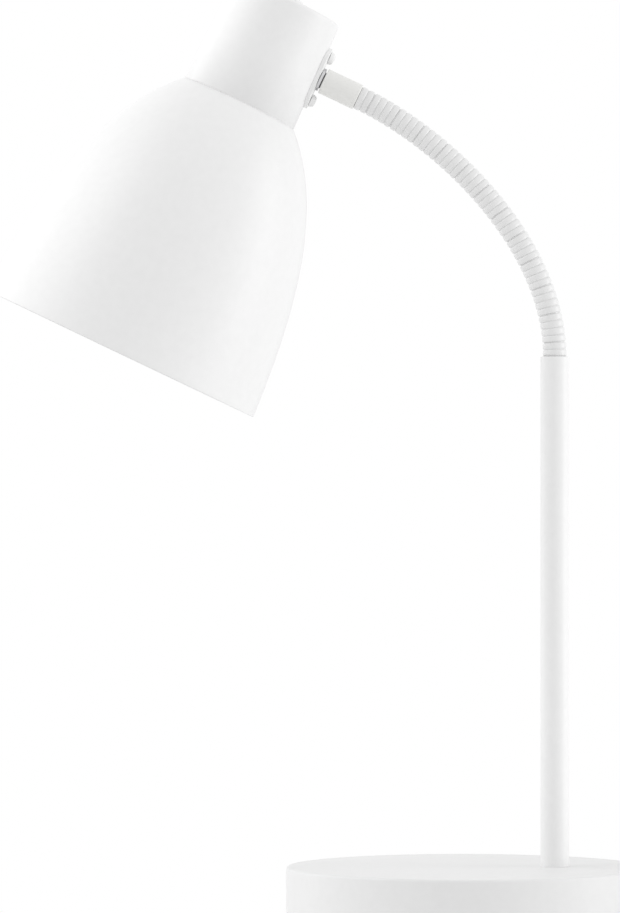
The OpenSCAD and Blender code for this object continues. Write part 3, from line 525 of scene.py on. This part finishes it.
def set_camera():
    data = bpy.data.cameras.new("camera")
    data.lens, data.sensor_width = LENS, SENSOR
    data.clip_end = CLIP_END
    camera = bpy.data.objects.new("camera", data)
    camera.location = Vector(CAMERA_AT) * MM
    camera.rotation_euler = (math.pi / 2, 0, 0)
    bpy.context.scene.collection.objects.link(camera)
    bpy.context.scene.camera = camera


def softbox(name, at, size, power):
    """Rectangular light at a point, aimed at the lamp."""
    data = bpy.data.lights.new(name, "AREA")
    data.shape, data.size, data.size_y, data.energy = "RECTANGLE", size[0], size[1], power
    light = bpy.data.objects.new(name, data)
    light.location = at
    aim = Vector(AIM) - Vector(at)
    light.rotation_euler = aim.to_track_quat("-Z", "Y").to_euler()
    bpy.context.scene.collection.objects.link(light)


def set_world(strength):
    """Even light on the object, and plain white where the background is seen."""
    world = bpy.data.worlds.new("world")
    world.use_nodes = True
    bpy.context.scene.world = world
    tree = world.node_tree
    path = tree.nodes.new("ShaderNodeLightPath")
    seen = path.outputs["Is Camera Ray"]
    for kind in ("Is Glossy Ray", "Is Transmission Ray"):
        either = tree.nodes.new("ShaderNodeMath")
        either.operation = "MAXIMUM"
        tree.links.new(seen, either.inputs[0])
        tree.links.new(path.outputs[kind], either.inputs[1])
        seen = either.outputs[0]
    level = tree.nodes.new("ShaderNodeMapRange")
    level.inputs["To Min"].default_value = strength
    level.inputs["To Max"].default_value = 1
    tree.links.new(seen, level.inputs["Value"])
    background = tree.nodes["Background"]
    background.inputs["Color"].default_value = (1, 1, 1, 1)
    tree.links.new(level.outputs["Result"], background.inputs["Strength"])


def set_floor():
    """Pale floor, short enough to end below the photograph's lower edge."""
    angles = [math.tau * k / FLOOR_SIDES for k in range(FLOOR_SIDES)]
    outline = [(FLOOR_R * math.cos(a), FLOOR_R * math.sin(a)) for a in angles]
    floor = to_object("floor", prism(outline, -FLOOR_T, 0))
    floor.data.materials.append(
        finish_of("floor_white", (0.9, 0.9, 0.9), 0.8, 400, 0.02, mottle=0.004, patch=60))


bpy.context.scene.view_settings.view_transform = "Standard"
set_camera()
set_world(WORLD_LEVEL)
for light in LIGHTS:
    softbox(*light)
set_floor()


# ---- Base ----

def base_shell():
    inner = BASE_R - WALL
    wall = turned(rounded([
        (inner, BASE_FOOT, 0.3), (BASE_R, BASE_FOOT, 0.5), (BASE_R, BASE_TOP, EDGE),
        (0, BASE_TOP, 0), (0, BASE_TOP - TOP_T, 0), (inner, BASE_TOP - TOP_T, 1)], 10), DRUM_SIDES)
    shell = to_object("drum_shell", wall)
    opening = box_form((-FRONT_X - GAP, -BASE_R - OVER, FRONT_Z0 - GAP),
                       (FRONT_X + GAP, -BASE_R / 2, FRONT_Z1 + GAP))
    pole_r, gland_r = POLE_R + FIT, GLAND_R + FIT
    pole_hole = turned([(0, -OVER), (pole_r, -OVER), (pole_r, OVER), (0, OVER)],
                       SMALL_SIDES)
    gland_hole = turned([(0, 0), (gland_r, 0), (gland_r, GLAND_HOLE_LEN), (0, GLAND_HOLE_LEN)],
                        HOLE_SIDES)
    gland_at = facing((0, 1, 0), (0, BASE_R - GLAND_HOLE_LEN / 2, GLAND_Z))
    for cutter in (opening, moved(pole_hole, upright(POLE_X, 0, BASE_TOP)),
                   moved(gland_hole, gland_at)):
        carve(shell, to_object("cutter", cutter))
    soften(shell, SHELL_ROUND)
    dress(shell, SHELL_WHITE, "base", ["base_shell"])


def round_place(r, angles, z):
    """Places round the base's axis that point up."""
    return [upright(r * math.cos(math.radians(a)), r * math.sin(math.radians(a)), z)
            for a in angles]


def base_screws():
    for node, r, angles, z, length, head_r, head_h in SCREW_RINGS:
        screw_set(node, ZINC, "base", round_place(r, angles, z), length, head_r, head_h)
    down = Matrix.Rotation(math.pi, 4, "X")
    places = [upright(sx * RUNNER_SCREW_X, sy * RUNNER_SCREW_Y, RUNNER_SCREW_Z) @ down
              for sx in (-1, 1) for sy in (-1, 1)]
    screw_set("runner_screws", ZINC, "base", places, RUNNER_SCREW_LEN, RUNNER_SCREW_HEAD_R)


def cord_gland():
    catch = GLAND_R + GLAND_CATCH
    outline = rounded([
        (GLAND_CORE, GLAND_Y0, 0.1), (GLAND_R - GLAND_TAPER, GLAND_Y0, 0.2),
        (catch, GLAND_Y0 + GLAND_CATCH_Y0, 0.2), (catch, GLAND_Y0 + GLAND_CATCH_Y1, 0.2),
        (GLAND_R, GLAND_Y0 + GLAND_CATCH_Y1, 0), (GLAND_R, BASE_R, 0),
        (GLAND_FLANGE_R, BASE_R, 0.3), (GLAND_FLANGE_R, GLAND_Y1, 0.8),
        (GLAND_R, GLAND_Y1, 0.2), (GLAND_R - 0.3, GLAND_Y1 - GLAND_DISH, 0.1),
        (GLAND_BORE + GLAND_MOUTH, GLAND_Y1 - GLAND_DISH, 0.1),
        (GLAND_BORE, GLAND_Y1 - GLAND_MOUTH_DEEP, 0.2),
        (GLAND_BORE, GLAND_Y1 - GLAND_LIP, 0.1), (GLAND_CORE, GLAND_Y1 - GLAND_LIP, 0)])
    place = facing((0, 1, 0), (0, 0, GLAND_Z))
    dress_turned("cord_gland", outline, SMALL_SIDES, place, BLACK, "base")


# ---- Drawer ----

def tray_outline(inset):
    """Tray's plan: straight sides and back, with a round front, drawn in by inset."""
    half, back, r = FRONT_X - inset, TRAY_BACK - inset, TRAY_R - inset
    limit = math.asin(half / r)
    arc = [(r * math.sin(a), -r * math.cos(a), 0)
           for a in (limit * (1 - k / TRAY_ARC_STEPS) for k in range(1, 2 * TRAY_ARC_STEPS))]
    corner = max(TRAY_CORNER - inset, 1)
    front_y = -r * math.cos(limit)
    return rounded([(-half, front_y, 0), (-half, back, corner), (half, back, corner),
                    (half, front_y, 0)] + arc, 8)


def drawer_tray():
    floor = FRONT_Z0 + TRAY_WALL
    rings = [(0, FRONT_Z0), (0, TRAY_TOP), (TRAY_WALL, TRAY_TOP), (TRAY_WALL, floor + TRAY_FILLET),
             (TRAY_WALL + TRAY_FILLET_MID, floor + TRAY_FILLET_MID),
             (TRAY_WALL + TRAY_FILLET, floor)]
    form = bmesh.new()
    loops = [[form.verts.new((x, y, z)) for x, y in tray_outline(inset)] for inset, z in rings]
    form.faces.new(loops[0])
    for a, b in zip(loops, loops[1:]):
        for k in range(len(a)):
            n = (k + 1) % len(a)
            form.faces.new((a[k], a[n], b[n], b[k]))
    form.faces.new(loops[-1])
    bmesh.ops.recalc_face_normals(form, faces=form.faces)
    forms = [form]
    foot = FRONT_Z0 + STUB_UP
    for end in (low("drawer_tray").x, high("drawer_tray").x):
        x0, x1 = sorted((end, end * STUB_ROOT))
        forms.append(box_form((x0, STUB_Y0, foot), (x1, STUB_Y1, foot + STUB_H)))
    tray = to_object("drawer_tray_dressed", joined(forms))
    soften(tray, TRAY_ROUND)
    dress(tray, INNER_WHITE, "drawer", ["drawer_tray"])


def drawer_front():
    ring = turned([(BASE_R - FRONT_T, FRONT_Z0), (BASE_R, FRONT_Z0), (BASE_R, FRONT_Z1),
                   (BASE_R - FRONT_T, FRONT_Z1)], DRUM_SIDES)
    front = to_object("drawer_front_dressed", ring)
    keep = box_form((-FRONT_X, -BASE_R - OVER, 0), (FRONT_X, 0, BASE_TOP))
    carve(front, to_object("cutter", keep), "INTERSECT")
    soften(front, FRONT_ROUND)
    dress(front, SHELL_WHITE, "drawer", ["drawer_front"])


def drawer_knob():
    outline = rounded([
        (0, BASE_R, 0), (KNOB_NECK_R + KNOB_FLARE, BASE_R, 0.3),
        (KNOB_NECK_R, BASE_R + KNOB_FLARE_LEN, 2.4), (KNOB_NECK_R, KNOB_END - KNOB_UNDER, 1.5),
        (KNOB_R, KNOB_END - KNOB_HEAD_T, 1.2), (KNOB_R, KNOB_END - KNOB_CROWN, 2),
        (0, KNOB_END, 0)], 8)
    place = facing((0, -1, 0), (0, 0, KNOB_Z))
    dress_turned("drawer_knob", outline, ROD_SIDES, place, SHELL_WHITE, "drawer")


def drawer_screws():
    def seat(angle):
        turn = Matrix.Rotation(math.radians(angle), 4, "Z")
        return upright(0, 0, KNOB_Z) @ turn @ facing((0, -1, 0), (0, -FRONT_SEAT, 0))
    places = [seat(-FRONT_ANGLE), seat(FRONT_ANGLE)]
    screw_set("front_screws", ZINC, "drawer", places, FRONT_SCREW_LEN)
    screw_set("knob_screw", ZINC, "drawer", [seat(0)], KNOB_SCREW_LEN)


# ---- Pole ----

def pole():
    inner = POLE_R - POLE_WALL
    outline = rounded([(inner, POLE_FOOT, 0), (POLE_R, POLE_FOOT, 0.3), (POLE_R, POLE_TOP, 0.5),
                       (inner, POLE_TOP, 0.3)])
    dress_turned("pole", outline, ROD_SIDES, upright(POLE_X), LAMP_WHITE, "base")


# ---- Gooseneck ----

RINGS = 80                      # rings to the length of one link
STEP = LINK / RINGS
NECK_SIDES, LEAD_SIDES = 64, 24
NECK_SHARP = 60                 # as SHARP, so that the ribs stay smooth
SKIN_GAP = 2                    # rings left out of a link's skin at each joint
BALL_R, BALL_REACH = 4.65, 1.5
BALL_ROOT, BALL_STEPS = 2, 8    # rings of the ball before the joint and beyond it
BORE_STEP, LEAD_STEP = 10, 2    # each ring of the bore and of the lead stands for so many
SOCKET_R, SOCKET_DEEP = 4.72, 2.4


def heading(s):
    """Direction of the neck's centreline at s along it, in radians from +X."""
    t = s / (LINKS * LINK)
    share = t * (TURN_1 + t * (TURN_2 + t * (1 - TURN_1 - TURN_2)))
    return math.radians(90 + NECK_TURN * share)


def along(angle):
    """Unit vector of a direction in the XZ plane."""
    return Vector((math.cos(angle), 0, math.sin(angle)))


def neck_line():
    """Ring centres from the pole to the sleeve, ending exactly at the sleeve."""
    points = [Vector((POLE_X, 0, POLE_TOP))]
    for k in range(LINKS * RINGS):
        points.append(points[-1] + along(heading((k + 0.5) * STEP)) * STEP)
    end = LAST_JOINT + along(heading(LINKS * LINK)) * LINK / 2
    miss = end - points[-1]
    return [p + miss * k / (len(points) - 1) for k, p in enumerate(points)]


def body_at(k):
    """Body that carries link k."""
    if k == 0:
        return "neck_root"
    return "head" if k == LINKS else "link_%02d" % k


def rib_r(s):
    """Outer radius of the ribbed neck at s along it, with a groove at each multiple of the
    pitch."""
    return NECK_R - GROOVE * abs(2 * (s / RIB_PITCH % 1) - 1) ** GROOVE_POWER


def ring_points(centre, angle, radius, sides=NECK_SIDES):
    """Points round a centre, square to a direction in the XZ plane."""
    out = Vector((-math.sin(angle), 0, math.cos(angle)))
    turns = [math.tau * k / sides for k in range(sides)]
    return [centre + (Vector((0, math.cos(t), 0)) + out * math.sin(t)) * radius for t in turns]


def tube_form(rings, closed):
    """Skin through rings of points; closed joins the last ring to the first."""
    form = bmesh.new()
    loops = [[form.verts.new(p) for p in ring] for ring in rings]
    for a, b in zip(loops, loops[1:] + (loops[:1] if closed else [])):
        for k in range(len(a)):
            n = (k + 1) % len(a)
            form.faces.new((a[k], a[n], b[n], b[k]))
    if not closed:
        form.faces.new(loops[0])
        form.faces.new(loops[-1])
    bmesh.ops.recalc_face_normals(form, faces=form.faces)
    return form


def line_ring(line, i, radius, sides=NECK_SIDES):
    """Ring at ring centre i of the neck."""
    return ring_points(line[i], heading(i * STEP), radius, sides)


def joint_ring(line, i, x, radius):
    """Ring x beyond ring centre i of the neck, straight on in its direction there."""
    angle = heading(i * STEP)
    return ring_points(line[i] + along(angle) * x, angle, radius)


def neck_piece(k, line):
    """Link k: a ribbed skin, a ball for the next link at its end and a socket at its start,
    with its length of the lead."""
    first = max(0, round((k - 0.5) * RINGS))
    last = min(LINKS * RINGS, round((k + 0.5) * RINGS))
    skin = range(first + (SKIN_GAP if k else 0), last + 1 - (SKIN_GAP if k < LINKS else 0))
    rings = [line_ring(line, i, rib_r(i * STEP)) for i in skin]
    if k < LINKS:
        reach = [BALL_REACH * j / BALL_STEPS for j in range(-BALL_ROOT, BALL_STEPS + 1)]
        rings += [joint_ring(line, last, x, math.sqrt(BALL_R ** 2 - x * x)) for x in reach]
        rings.append(joint_ring(line, last, BALL_REACH, NECK_BORE))
    else:
        rings.append(joint_ring(line, last, 0, NECK_BORE))
    rings += [line_ring(line, i, NECK_BORE)
              for i in range(last - 2 * BORE_STEP, first + 2 * BORE_STEP - 1, -BORE_STEP)]
    if k:
        rings.append(joint_ring(line, first, SOCKET_DEEP, NECK_BORE))
        rings.append(joint_ring(line, first, SOCKET_DEEP, SOCKET_R))
        rings.append(joint_ring(line, first, SKIN_GAP * STEP, SOCKET_R))
    else:
        rings.append(joint_ring(line, first, 0, NECK_BORE))
    piece = to_object("neck_%02d" % k, tube_form(rings, True), sharp=NECK_SHARP)
    dress(piece, NECK_SHADED_WHITE, body_at(k), ["gooseneck_%02d" % k])
    lead = [line_ring(line, i, LEAD_R, LEAD_SIDES)
            for i in range(first + (1 if k else 0), last, LEAD_STEP)]
    piece = to_object("neck_lead_%02d" % k, tube_form(lead, False), sharp=NECK_SHARP)
    dress(piece, SHEATH, body_at(k), [] if k else ["lead_neck"])


def gooseneck():
    line = neck_line()
    for k in range(LINKS + 1):
        neck_piece(k, line)
    plug_r = POLE_R - POLE_WALL - PLUG_FIT
    plug = turned(rounded([(NECK_BORE, -PLUG_LEN, 0.2), (plug_r, -PLUG_LEN, 0.4),
                           (plug_r, -PLUG_DROP, 0), (NECK_BORE, -PLUG_DROP, 0)]), SMALL_SIDES)
    dress(to_object("neck_plug", plug, upright(POLE_X, 0, POLE_TOP)), NECK_SHADED_WHITE, "neck_root")


# ---- Neck's fixing to the head ----

def cup_radius(z):
    """Outer radius of the cup's side at height z."""
    return CUP_R - CUP_DRAFT * (z + CUP_DOWN) / (CUP_CORNER_Z + CUP_DOWN)


PLATE_X = cup_radius(0) + PLATE_T
SLEEVE_X = PLATE_X + SLEEVE_GAP
ON_NECK_AXIS = HEAD @ facing((1, 0, 0))         # +Z runs from the head's axis to the neck


def neck_sleeve():
    end, seat = SLEEVE_X + SLEEVE_LEN, SLEEVE_X + SLEEVE_LEN - SLEEVE_SEAT
    nipple_r, neck_r = NIPPLE_R + FIT, NECK_R - GROOVE + FIT
    outline = rounded([(nipple_r, SLEEVE_X, 0.2), (SLEEVE_R, SLEEVE_X, 0.45),
                       (SLEEVE_R, end, 0.5), (neck_r, end, 0.2), (neck_r, seat, 0),
                       (nipple_r, seat, 0)])
    dress_turned("neck_sleeve", outline, ROD_SIDES, ON_NECK_AXIS, SLEEVE_IVORY, "head")


def neck_nipple():
    start = cup_radius(0) - NIPPLE_IN
    thread = [(NIPPLE_R - (NIPPLE_THREAD if k % 2 else 0), start + NIPPLE_STEP * k)
              for k in range(NIPPLE_STEPS)]
    end = thread[-1][1]
    tube = turned([(NIPPLE_BORE, start)] + thread + [(NIPPLE_BORE, end)], SMALL_SIDES)
    near, far, inner = PLATE_X + COLLAR_X0, PLATE_X + COLLAR_X1, NIPPLE_R - COLLAR_IN
    collar = turned(rounded([(inner, near, 0), (COLLAR_R, near, 0.15), (COLLAR_R, far, 0.25),
                             (inner, far, 0)]), SMALL_SIDES)
    nipple = to_object("neck_nipple_dressed", joined([tube, collar]), ON_NECK_AXIS)
    dress(nipple, ZINC, "head", ["neck_nipple"])


def bracket_screws():
    places = [HEAD @ facing((-1, 0, 0), (cup_radius(z - PLATE_SCREW_HEAD_R) + PLATE_T, 0, z))
              for z in (-PLATE_SCREW_Z, PLATE_SCREW_Z)]
    screw_set("bracket_screws", LAMP_WHITE, "head", places, PLATE_SCREW_LEN,
              PLATE_SCREW_HEAD_R, PLATE_SCREW_HEAD_H)


# ---- Cup and shade ----

def offset(line, d):
    """A line of (r, z) points moved by d to its right."""
    moved_line = []
    for i, p in enumerate(line):
        a, b = Vector(line[max(i - 1, 0)]), Vector(line[min(i + 1, len(line) - 1)])
        t = (b - a).normalized()
        moved_line.append((p[0] + t.y * d, p[1] - t.x * d))
    return moved_line


def lamp_cup():
    crown_top = CUP_UP + CROWN
    sphere = (CROWN_R ** 2 + CROWN ** 2) / (2 * CROWN)
    side = [(CUP_R, -CUP_DOWN + LIP), (cup_radius(0), 0)]
    side += [(CUP_TOP_R - CUP_CORNER + CUP_CORNER * math.cos(math.radians(a)),
              CUP_CORNER_Z + CUP_CORNER * math.sin(math.radians(a))) for a in CUP_CORNER_ANGLES]
    hole = BUSH_R + FIT
    rs = [CROWN_R - (CROWN_R - hole) * k / CROWN_STEPS for k in range(1, CROWN_STEPS + 1)]
    side += [(r, crown_top - sphere + math.sqrt(sphere ** 2 - r ** 2)) for r in rs]
    inside = offset(side, -SHEET)
    inside[0] = (CUP_R - SHEET, -CUP_DOWN + LIP)
    lip = [(CUP_R - SHEET + LIP, -CUP_DOWN), (CUP_R - LIP, -CUP_DOWN)]
    outline = side + inside[::-1] + lip
    dress_turned("lamp_cup", outline, CUP_SIDES, HEAD, LAMP_WHITE, "head", SHEET_SHARP)


def bezier(knots, t):
    a, b, c, d = knots
    return ((1 - t) ** 3 * a + 3 * (1 - t) ** 2 * t * b + 3 * (1 - t) * t ** 2 * c + t ** 3 * d)


def lamp_shade():
    flare = SHADE_R - CUP_R
    (x1, z1), (x2, z2) = SHADE_LEAD_1, SHADE_LEAD_2
    knots = [Vector(p) for p in ((CUP_R, 0), (CUP_R + x1 * flare, -z1 * SHADE_H),
                                 (CUP_R + x2 * flare, -z2 * SHADE_H), (SHADE_R, -SHADE_H))]
    outer = [bezier(knots, k / SHADE_STEPS) + Vector((0, -CUP_DOWN))
             for k in range(SHADE_STEPS + 1)]
    inner = [Vector(p) for p in offset(outer, SHEET)]
    hole = HOLDER_R + SHADE_HOLE
    top = -CUP_DOWN
    rim = outer[-1]
    inside = [p for p in inner[:-1] if p.y < top - SHEET - SHADE_TRIM]
    edge = rounded([(outer[-2].x, outer[-2].y, 0), (rim.x, rim.y, RIM_ROUND),
                    (rim.x - SHEET, rim.y, RIM_ROUND), (inner[-2].x, inner[-2].y, 0)], 6)[1:-1]
    outline = [(hole, top)] + outer[:-1] + edge + inside[::-1]
    outline += [(CUP_R - SHEET, top - SHEET), (hole, top - SHEET)]
    dress_turned("lamp_shade", outline, SHADE_SIDES, HEAD, LAMP_WHITE, "head", SHEET_SHARP)


# ---- Lamp holder, switch and bulb ----

def lamp_holder():
    bore = SHELL_R + FIT
    rib, roof = -CUP_DOWN + HOLDER_RIB_H, HOLDER_TOP - HOLDER_ROOF
    outline = rounded([
        (0, HOLDER_TOP, 0), (HOLDER_R, HOLDER_TOP, 2), (HOLDER_R, rib, 0),
        (HOLDER_RIB_R, rib, 0.3), (HOLDER_RIB_R, -CUP_DOWN, 0.3), (HOLDER_R, -CUP_DOWN, 0),
        (HOLDER_R, HOLDER_FOOT, 1.2), (bore, HOLDER_FOOT, 1), (bore, roof, 0), (0, roof, 0)])
    dress_turned("lamp_holder", outline, HOLDER_SIDES, HEAD, BLACK, "head")


def shade_ring():
    top, bore = -CUP_DOWN - SHEET, HOLDER_R + FIT
    foot = top - RING_H
    form = turned(rounded([(bore, foot, 0.4), (RING_R, foot, 0.8), (RING_R, top, 0.3),
                           (bore, top, 0)], 5), GRIP_RIBS * 6)
    for v in form.verts:
        r = math.hypot(v.co.x, v.co.y)
        if r > RING_R - GRIP_BAND:
            wave = abs(math.sin(math.atan2(v.co.y, v.co.x) * GRIP_RIBS / 2)) ** 3
            v.co.x *= 1 - GRIP_DEPTH * (1 - wave) / r
            v.co.y *= 1 - GRIP_DEPTH * (1 - wave) / r
    dress(to_object("shade_ring_dressed", form, HEAD), BLACK, "head", ["shade_ring"])


def push_button():
    top = CUP_UP + CROWN + BUSH_UP + BUTTON_UP
    flange, foot = BUTTON_FLANGE_Z, BUTTON_FLANGE_Z - BUTTON_FLANGE_T
    outline = rounded([(0, foot, 0), (BUTTON_FLANGE_R, foot, 0.3), (BUTTON_FLANGE_R, flange, 0.3),
                       (BUTTON_R, flange, 0), (BUTTON_R, top, 0.9), (0, top - BUTTON_CROWN, 0)], 8)
    dress_turned("switch_button", outline, SMALL_SIDES, HEAD, BUTTON_WHITE, "button")


def switch_spring():
    """Spring under the button's flange."""
    top = BUTTON_FLANGE_Z - BUTTON_FLANGE_T - SPRING_WIRE - FIT
    length = SPRING_ROOM - 2 * SPRING_WIRE - 2 * FIT
    wire = [math.tau * k / SPRING_SIDES for k in range(SPRING_SIDES)]
    rings = []
    for i in range(SPRING_TURNS * SPRING_STEPS + 1):
        angle = math.tau * i / SPRING_STEPS
        share = (i / SPRING_STEPS - SPRING_FLAT) / (SPRING_TURNS - 2 * SPRING_FLAT)
        out = Vector((math.cos(angle), math.sin(angle), 0))
        down = length * (1 - min(max(share, 0), 1))
        centre = out * SPRING_R + Vector((0, 0, top - down))
        rings.append([centre + (out * math.cos(t) + Vector((0, 0, math.sin(t)))) * SPRING_WIRE
                      for t in wire])
    spring = to_object("switch_spring_dressed", tube_form(rings, False), HEAD)
    dress(spring, MATERIALS[SLOTS["switch_spring"]], "head", ["switch_spring"])
    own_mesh(spring)


def bulb_cap():
    start, end = BULB_TIP - CAP_THREAD_START, CAP_END + CAP_THREAD_END
    shares = [k / CAP_STEPS for k in range(CAP_STEPS + 1)]
    outline = [(r, BULB_TIP - depth) for r, depth in CAP_TIP]
    outline += [(BULB_CAP_R - CAP_THREAD + CAP_THREAD * math.sin(math.tau * CAP_TURNS * share),
                 start + (end - start) * share) for share in shares]
    outline += [(BULB_CAP_R, CAP_END), (0, CAP_END)]
    dress_turned("bulb_cap", outline, ROD_SIDES, HEAD, CAP_METAL, "head", CAP_SHARP)


def bulb_housing():
    throat = min(CAP_END, HOLDER_FOOT) - BULB_NECK_DROP
    neck = [(BULB_CAP_R + (JOIN_R - BULB_CAP_R) * math.sin(math.pi / 2 * k / BULB_NECK_STEPS),
             throat + (JOIN_Z - throat) * k / BULB_NECK_STEPS)
            for k in range(BULB_NECK_STEPS + 1)]
    outline = [(0, CAP_END), (BULB_CAP_R, CAP_END)] + neck + [(JOIN_R - JOIN_IN, JOIN_Z),
                                                              (0, JOIN_Z)]
    dress_turned("bulb_housing", outline, BULB_SIDES, HEAD, BULB_BODY, "head")


def bulb_globe():
    limit = math.acos(GLOBE_JOIN / BULB_R)
    arc = [(BULB_R * math.sin(a), GLOBE_Z + BULB_R * math.cos(a))
           for a in (limit + (math.pi - limit) * k / GLOBE_STEPS for k in range(GLOBE_STEPS + 1))]
    inner = [(r * GLOBE_INNER, GLOBE_Z + (z - GLOBE_Z) * GLOBE_INNER) for r, z in arc[::-1]]
    inner[-1] = (math.sqrt((BULB_R * GLOBE_INNER) ** 2 - GLOBE_JOIN ** 2), JOIN_Z)
    dress_turned("bulb_globe", arc + inner, BULB_SIDES, HEAD, OPAL, "head")


# ---- Pieces that keep the CAD form ----

SLOTS = {sub["node"]: sub["material_slot"] for sub in frame["record"]["subparts"]}
# Nodes whose edges are rounded, and by how much
ROUNDED = {"foot_pad": 0.5, "base_cover": 0.4, "deck_plate": 0.4, "weight_plate": 0.6,
           "runner_left": 0.3, "runner_right": 0.3, "terminal_block": 0.4, "pole_stud": 0.2,
           "pole_washer": 0.15, "pole_nut": 0.2, "bracket_plate": 0.25, "nipple_nut": 0.2,
           "holder_bracket": 0.2, "holder_shell": 0.12, "holder_contact": 0.3,
           "switch_body": 0.2, "switch_nut": 0.2}


def plain_nodes():
    """Gives every CAD node the finish of its slot."""
    for node, slot in SLOTS.items():
        NODES[node].data.materials.clear()
        NODES[node].data.materials.append(MATERIALS[slot])


def rounded_nodes():
    for node, width in ROUNDED.items():
        body = NODES[node].parent.name.split(":")[1]
        piece = to_object(node + "_dressed", copy_of(node))
        dress(soften(piece, width), MATERIALS[SLOTS[node]], body, [node])


for build in (plain_nodes, rounded_nodes, base_shell, base_screws, cord_gland, drawer_tray,
              drawer_front, drawer_knob, drawer_screws, pole, gooseneck, neck_sleeve,
              neck_nipple, bracket_screws, lamp_cup, lamp_shade, lamp_holder, shade_ring,
              push_button, switch_spring, bulb_cap, bulb_housing, bulb_globe):
    build()
